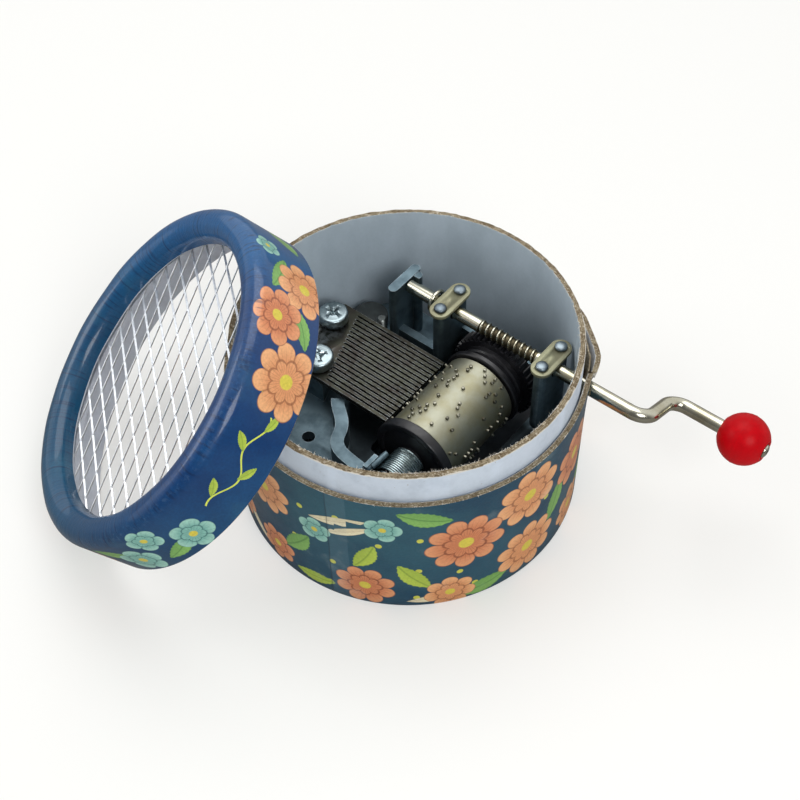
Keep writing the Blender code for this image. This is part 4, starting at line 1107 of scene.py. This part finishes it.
pin_steel = metal("pin steel", ink(146, 144, 130), ink(88, 86, 76), 0.36, 0.3, 1800.0)
pin_radius, pin_reach, pin_sunk = 0.00037, 0.00057, 0.0003
bm = bmesh.new()
chance = random.Random(41)
last = []
for track in range(teeth_count):
    high = comb_low + (track + 0.5) * comb_pitch
    bearings = []
    while len(bearings) < 6:
        fresh = chance.uniform(0, 2 * math.pi)
        if last and chance.random() < 0.45:
            fresh = chance.choice(last) + chance.choice((0.0, 0.13, 0.26, -0.13))
        if all(abs((fresh - other + math.pi) % (2 * math.pi) - math.pi) > 0.16 for other in bearings):
            bearings.append(fresh)
    last = bearings
    for bearing in bearings:
        pin = bmesh.ops.create_cone(bm, cap_ends=True, segments=12, radius1=pin_radius, radius2=pin_radius,
                                    depth=pin_reach + pin_sunk)["verts"]
        edges = dict.fromkeys(e for v in pin for e in v.link_edges)
        tip = [e for e in edges if all(v.co.z > 0 for v in e.verts)]
        bmesh.ops.transform(bm, verts=pin, matrix=Matrix.Rotation(bearing, 4, "Z")
                            @ Matrix.Translation((drum_radius + (pin_reach - pin_sunk) / 2, 0.0, high))
                            @ Matrix.Rotation(math.pi / 2, 4, "Y"))
        bevelled(bm, tip, 0.00012)
pins = laid_down("drum_pins", bm, pin_steel, lay_along, 40.0)
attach(pins, "drum")

recoated("drum_axle", bright_steel)

# Drum gear and end cap. Black moulded plastic, pressed into the drum's ends, with a raised rim. The
# gear meshes with the worm above it.
black_plastic, shader, at = finish("black moulded plastic")
mould = speckle(at, 1200.0, 3.0)
greyed = use(edge_wear, Vector=at, Wear=0.5, Radius=0.00025)["Worn"]
shader["Base Color"] = tint(greyed, tint(mould, ink(13, 13, 15), ink(25, 25, 29)), ink(62, 63, 68))
shader["Roughness"] = ramp(mould, 0.3, 0.7, 0.28, 0.44)
relief(shader, mould, 0.15, 0.00002)

gear_far, gear_near, hub_end, flange, axle_bore = 0.01964, 0.01624, 0.0121, 0.00900, 0.0012
plug, plug_deep = drum_radius - drum_wall - 0.0003, 0.003
gear_hub, sunk_hub = 0.0078, 0.0074
bm = on_lathe([(axle_bore, gear_far), (gear_hub - 0.0016, gear_far), (gear_hub - 0.0014, gear_far - 0.0008),
               (gear_hub, gear_far - 0.0008), (gear_hub, gear_near), (gear_hub, gear_near - 0.0010),
               (gear_hub - 0.0003, gear_near - 0.0013), (gear_hub, hub_end + 0.0014),
               (flange - 0.0002, hub_end + 0.0012), (flange, hub_end + 0.0010), (flange, hub_end + 0.0002),
               (flange - 0.0002, hub_end), (plug, hub_end), (plug, hub_end - plug_deep),
               (axle_bore, hub_end - plug_deep)], 96)
bmesh.ops.transform(bm, matrix=lay_along, verts=bm.verts)
crown, gear_foot, teeth, worm_pitch = 0.00998, 0.00922, 44, 0.0014
tooth_lean, pitch_radius = 0.0302, 0.0098
twist = tooth_lean / pitch_radius


def faces_at(bm, along):
    """The faces that lie at a place along Y."""
    return [f for f in bm.faces if all(abs(v.co.y - along) < 1e-7 for v in f.verts)]


wheel = bmesh.new()
ring = []
for tooth in range(teeth):
    middle = math.pi / 2 - 2 * math.pi * tooth / teeth
    for radius, half in ((gear_foot, 0.00036), (crown - 0.0001, 0.00021), (crown, 0.00010),
                         (crown, -0.00010), (crown - 0.0001, -0.00021), (gear_foot, -0.00036)):
        bearing = middle + half / radius
        ring.append(wheel.verts.new((radius * math.cos(bearing), gear_near, radius * math.sin(bearing))))
lines = [wheel.edges.new(pair) for pair in zip(ring, ring[1:] + ring[:1])]
inner = []
for outer in ring:
    bearing = math.atan2(outer.co.z, outer.co.x)
    inner.append(wheel.verts.new((sunk_hub * math.cos(bearing), gear_near, sunk_hub * math.sin(bearing))))
inner_lines = [wheel.edges.new(pair) for pair in zip(inner, inner[1:] + inner[:1])]
bmesh.ops.bridge_loops(wheel, edges=lines + inner_lines)
steps = 4
rise = (gear_far - 0.0005 - gear_near) / steps
for step in range(steps):
    level = gear_near + rise * step
    extruded(wheel, faces_at(wheel, level), (0, rise, 0))
    if step:
        bmesh.ops.delete(wheel, geom=faces_at(wheel, level), context="FACES_ONLY")
bmesh.ops.remove_doubles(wheel, verts=wheel.verts, dist=0.0000005)
bmesh.ops.recalc_face_normals(wheel, faces=wheel.faces)
for vertex in wheel.verts:
    spun = Matrix.Rotation((vertex.co.y - crank_y) * twist, 3, "Y") @ vertex.co
    vertex.co = spun + Vector((drum_x, 0.0, drum_z))
joined(bm, wheel)
gear = laid_down("worm_gear", bm, black_plastic, sharp=30.0)
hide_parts("drum_gear")
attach(gear, "drum")

cap_near, cap_hub, hub_tip = -0.0109, 0.0027, -0.0177
bm = on_lathe([(axle_bore, drum_near + plug_deep), (plug, drum_near + plug_deep),
               (plug, drum_near - 0.0003),
               (flange - 0.0002, drum_near - 0.0003), (flange, drum_near - 0.0005),
               (flange, cap_near + 0.0003), (flange - 0.0001, cap_near + 0.0001),
               (flange - 0.0003, cap_near), (flange - 0.0013, cap_near),
               (flange - 0.0015, cap_near + 0.0001), (flange - 0.0016, cap_near + 0.0004),
               (cap_hub + 0.0002, cap_near + 0.0004), (cap_hub, cap_near + 0.0003),
               (cap_hub, hub_tip + 0.0003), (cap_hub - 0.0003, hub_tip), (axle_bore, hub_tip)], 96)
cap = laid_down("end_cap", bm, black_plastic, lay_along)
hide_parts("drum_end_cap")
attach(cap, "drum")

# Brake spring. Thirteen close turns of blued steel wire round the end cap's hub, which drag on it and
# steady the drum. A small finger of the casting stands over it.
spring_blue = metal("blued spring steel", ink(172, 188, 190), ink(124, 138, 138), 0.27, 0.3, 1600.0)


def wire(points, radius, sides=12, closed=False):
    """A round wire along points, its ends capped."""
    bm = bmesh.new()
    points = [Vector(point) for point in points]
    count = len(points)
    bearings = [2 * math.pi * k / sides for k in range(sides)]
    across_way = None
    loops = []
    for i, point in enumerate(points):
        before = points[i - 1 if closed else max(i - 1, 0)]
        after = points[(i + 1) % count if closed else min(i + 1, count - 1)]
        run = (after - before).normalized()
        if across_way is None:
            across_way = run.orthogonal().normalized()
        across_way = (across_way - run * across_way.dot(run)).normalized()
        other_way = run.cross(across_way)
        ring = [bm.verts.new(point + (across_way * math.cos(b) + other_way * math.sin(b)) * radius)
                for b in bearings]
        loops.append([bm.edges.new((ring[k], ring[(k + 1) % sides])) for k in range(sides)])
    for first, second in zip(loops, loops[1:] + loops[:1] if closed else loops[1:]):
        bmesh.ops.bridge_loops(bm, edges=first + second)
    if not closed:
        bmesh.ops.holes_fill(bm, edges=[e for e in bm.edges if e.is_boundary], sides=sides)
    bmesh.ops.recalc_face_normals(bm, faces=bm.faces)
    return bm


coil_radius, coil_start, coil_long, coil_wire, turns, steps = 0.00347, -0.0113, 0.0063, 0.00022, 13, 24
coil = []
for step in range(turns * steps + 1):
    bearing = math.pi + 2 * math.pi * step / steps
    coil.append((drum_x + coil_radius * math.cos(bearing), coil_start - coil_long * step / (turns * steps),
                 drum_z + coil_radius * math.sin(bearing)))
spring = laid_down("close_wound_spring", wire(coil, coil_wire, 10), spring_blue)
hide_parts("brake_spring")
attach(spring, "can")

# the casting's small finger at the spring, growing out of the arm's end
finger_start, finger_end = Vector((0.00585, -0.0187, 0.02300)), Vector((0.00640, -0.0144, 0.02365))
finger_half, finger_root = 0.00072, 0.00115
bm = bmesh.new()
aim = (finger_end - finger_start).to_track_quat("Z", "Y").to_matrix().to_4x4()
bmesh.ops.create_cone(bm, cap_ends=True, segments=20, radius1=finger_half, radius2=finger_half * 0.9,
                      depth=(finger_end - finger_start).length,
                      matrix=Matrix.Translation((finger_start + finger_end) / 2) @ aim)
bevelled(bm, [e for e in bm.edges if e.calc_face_angle(0) > 1.0], 0.00022, 3)
bmesh.ops.create_uvsphere(bm, u_segments=20, v_segments=10, radius=finger_root,
                          matrix=Matrix.Translation(finger_start - Vector((0.0007, 0.0002, 0.0005))))
spring_finger = laid_down("spring_finger", bm, zinc_casting, sharp=40.0)
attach(spring_finger, "can")

# Crank. One nickel-plated steel rod: the shaft in the posts, the worm cut into it above the gear, two
# bends outside the can, and an end peened over the knob. Its second bend was pinched flat by the tool.
crank_nickel = metal("polished nickel", ink(196, 194, 178), ink(170, 164, 140), 0.20, 0.16, 700.0,
                     (0.2, 1.0, 1.0), 0.10)
# painted shade: the thread's flanks and roots get this dark colour, for the shade in the grooves between
# the bright crests
worm_groove_shade = metal("worm grooves painted dark", ink(92, 85, 66), ink(66, 60, 46), 0.42, 0.3, 1200.0)
rod_radius, bend_x, bend_round, rod_end = 0.00145, 0.0444, 0.0034, 0.0651
throw, crank_lean = 0.0120, math.radians(-22.4)
handle_y, handle_z = crank_y + throw * math.cos(crank_lean), crank_z + throw * math.sin(crank_lean)
worm_start, worm_end, knob_start, knob_long = 0.0050, 0.0189, 0.0557, 0.0094


def rounded_run(points, radius, count=12):
    """A run of straight lines with its corners rounded."""
    points = [Vector(point) for point in points]
    out = [points[0]]
    for before, corner_at, after in zip(points, points[1:], points[2:]):
        back, on = (before - corner_at).normalized(), (after - corner_at).normalized()
        half = back.angle(on) / 2
        centre = corner_at + (back + on).normalized() * radius / math.sin(half)
        first = corner_at + back * radius / math.tan(half) - centre
        last = corner_at + on * radius / math.tan(half) - centre
        for i in range(count + 1):
            out.append(centre + Matrix.Rotation(first.angle(last) * i / count, 3, first.cross(last))
                       @ first)
    return out + [points[-1]]


route = rounded_run([(worm_end + 0.0001, crank_y, crank_z), (bend_x, crank_y, crank_z),
                     (bend_x, handle_y, handle_z), (rod_end, handle_y, handle_z)], bend_round)
bm = wire(route, rod_radius, 28)
pinch = Vector((bend_x + 0.0007, handle_y - 0.0009 * math.cos(crank_lean),
                handle_z - 0.0009 * math.sin(crank_lean)))
pinch_reach, pinch_deep = 0.0030, 0.00030
outward = Vector((-1.0, math.cos(crank_lean), math.sin(crank_lean))).normalized()
for vertex in bm.verts:
    away = (vertex.co - pinch).length
    if away < pinch_reach:
        facing_out = max(0.0, (vertex.co - pinch).dot(outward))
        share = (1 - (away / pinch_reach) ** 2) ** 2 * facing_out / rod_radius
        vertex.co -= outward * pinch_deep * share
shaft_end, core_radius = -0.0136, 0.00126
along_x = Matrix.Rotation(math.pi / 2, 4, "Y")
bmesh.ops.create_cone(bm, cap_ends=True, segments=28, radius1=core_radius, radius2=core_radius,
                      depth=worm_end - worm_start + 0.0004,
                      matrix=Matrix.Translation(((worm_start + worm_end) / 2, crank_y, crank_z)) @ along_x)
bmesh.ops.create_cone(bm, cap_ends=True, segments=28, radius1=rod_radius, radius2=rod_radius,
                      depth=worm_start - shaft_end,
                      matrix=Matrix.Translation(((worm_start + shaft_end) / 2, crank_y, crank_z)) @ along_x)
bevelled(bm, [e for e in bm.edges if all(abs(v.co.x - shaft_end) < 1e-6 for v in e.verts)], 0.0002)
thread_steps, thread_crest = 24, 0.00149
thread_shape = ((0.0011, -0.00050), (0.00136, -0.00036), (0.00151, -0.00015), (0.00155, 0.0),
                (0.00151, 0.00015), (0.00136, 0.00036), (0.0011, 0.00050))
rows = []
for step in range(int((worm_end - worm_start) / worm_pitch * thread_steps) + 1):
    x = worm_start + step / thread_steps * worm_pitch
    bearing = -math.pi / 2 + 2 * math.pi * ((x - drum_x) / worm_pitch + 0.5)
    ring = [bm.verts.new((x + shift, crank_y + radius * math.cos(bearing),
                          crank_z + radius * math.sin(bearing))) for radius, shift in thread_shape]
    rows.append([bm.edges.new(pair) for pair in zip(ring, ring[1:] + ring[:1])])
for first, second in zip(rows, rows[1:]):
    bmesh.ops.bridge_loops(bm, edges=first + second)
for last_row in (rows[0], rows[-1]):
    bmesh.ops.contextual_create(bm, geom=last_row)
# the raised ring that peening left round the end
peened = on_lathe([(0.0005, 0.0650), (0.0005, 0.06545), (0.0008, 0.06555), (0.0011, 0.06545),
                   (0.00135, 0.0652), (0.00135, 0.0650)], 28)
bmesh.ops.transform(peened, verts=peened.verts,
                    matrix=Matrix.Translation((0.0, handle_y, handle_z)) @ along_x)
# faces below the crests take the dark colour: painted shade in the worm's grooves
for face in bm.faces:
    middle = face.calc_center_median()
    if worm_start < middle.x < worm_end and (middle.yz - Vector((crank_y, crank_z))).length < thread_crest:
        face.material_index = 1
joined(bm, peened)
crank = laid_down("bent_crank", bm, [crank_nickel, worm_groove_shade], sharp=45.0)
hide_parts("crank_rod")
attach(crank, "crank")

# Stop ring. One turn of nickel-plated wire sprung onto the shaft beside the left strap. It turns with
# the crank and keeps the shaft from sliding out.
ring_x, ring_radius, ring_sway = -0.0066, 0.0022, 0.00012
ring_points = [(ring_x + ring_sway * math.sin(b), crank_y + ring_radius * math.cos(b),
                crank_z + ring_radius * math.sin(b)) for b in (2 * math.pi * i / 48 for i in range(48))]
stop_ring = laid_down("stop_ring", wire(ring_points, 0.00044, closed=True), crank_nickel)
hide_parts("shaft_ring")
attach(stop_ring, "crank")

# Knob. Red moulded plastic, a ball with two flat faces, turning on the crank's end. The mould's
# parting line runs round its middle.
red_plastic, shader, at = finish("red moulded plastic")
mould = speckle(at, 700.0, 4.0)
pitted = speckle(at, 2600.0, 2.0)
shader["Base Color"] = tint(ramp(mould, 0.35, 0.7), ink(182, 0, 13), ink(172, 0, 12))
shader["Roughness"] = ramp(mould, 0.3, 0.7, 0.34, 0.40)
shader["Specular IOR Level"] = 0.10
relief(shader, pitted, 0.06, 0.00002)
knob_radius, face_radius = 0.0052, 0.0023
half = knob_long / 2
profile = [(0.00175, knob_long - 0.0009), (0.0019, knob_long - 0.0003), (0.0021, knob_long)]
for i in range(33):
    high = half * (1 - i / 16)
    profile.append((max(face_radius, math.sqrt(max(0.0, knob_radius ** 2 - high ** 2)))
                    + (0.00005 if i == 16 else 0.0), half + high))
profile += [(0.0021, 0.0), (0.00175, 0.0003)]
knob = laid_down("red_knob", on_lathe(profile, 72), red_plastic,
                 Matrix.Translation((knob_start, handle_y, handle_z)) @ along_x, 28.0)
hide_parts("crank_knob")
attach(knob, "knob")

# Straps and rivets. Two pressed strips of nickel-plated steel with round ends hold the shaft down on
# its posts, each by two domed rivets.
strap_nickel = metal("brushed nickel", ink(146, 146, 118), ink(132, 129, 104), 0.50, 0.20, 900.0,
                     (6.0, 1.0, 1.0), 0.2, plate=0.45)
rivet_steel = metal("rivet steel", ink(132, 144, 150), ink(88, 98, 106), 0.40, 0.35, 1100.0, bump=0.25)
strap_foot, strap_thick, strap_half, strap_reach = 0.03325, 0.0008, 0.00220, 0.0033
dome_radius, dome_high, dome_foot, rivet_radius, rivet_deep = 0.0013, 0.0006, 0.03435, 0.0007, 0.0032
for side, x in (("left", -0.0030), ("right", 0.0222)):
    bm = bmesh.new()
    ring = []
    for way in (1, -1):
        for i in range(17):
            bearing = math.pi * i / 16 + (0 if way == 1 else math.pi)
            ring.append(bm.verts.new((x + strap_half * math.cos(bearing),
                                      crank_y + way * strap_reach + strap_half * math.sin(bearing),
                                      strap_foot)))
    extruded(bm, [bm.faces.new(ring)], (0, 0, strap_thick))
    bmesh.ops.recalc_face_normals(bm, faces=bm.faces)
    bevelled(bm, [e for e in bm.edges if e.calc_face_angle(0) > 1.0], 0.00008)
    strap = laid_down(f"shaft_strap_{side}", bm, strap_nickel, sharp=40.0)
    pierced(strap,
            *[rod_tool(0.0010, (x, crank_y + y, 0.0325), (x, crank_y + y, 0.0345), 20)
              for y in (strap_reach, -strap_reach)])
    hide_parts(f"bearing_strap_{side}")
    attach(strap, "can")
    for end, y in (("far", strap_reach), ("near", -strap_reach)):
        dome = [(dome_radius * math.sin(math.radians(a)), dome_high * math.cos(math.radians(a)) ** 0.7)
                for a in range(15, 90, 15)]
        bm = on_lathe([(0.0, dome_high), *dome, (dome_radius, 0.0), (rivet_radius, 0.0),
                       (rivet_radius, -rivet_deep), (0.0, -rivet_deep)], 32, closed=False)
        rivet = laid_down(f"domed_rivet_{side}_{end}", bm, rivet_steel,
                          Matrix.Translation((x, crank_y + y, dome_foot)), 50.0)
        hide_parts(f"strap_rivet_{side}_{end}")
        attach(rivet, "can")

new_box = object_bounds()
({"cad": [list(cad_box[0]), list(cad_box[1])],
           "dressed": [list(new_box[0]), list(new_box[1])]})
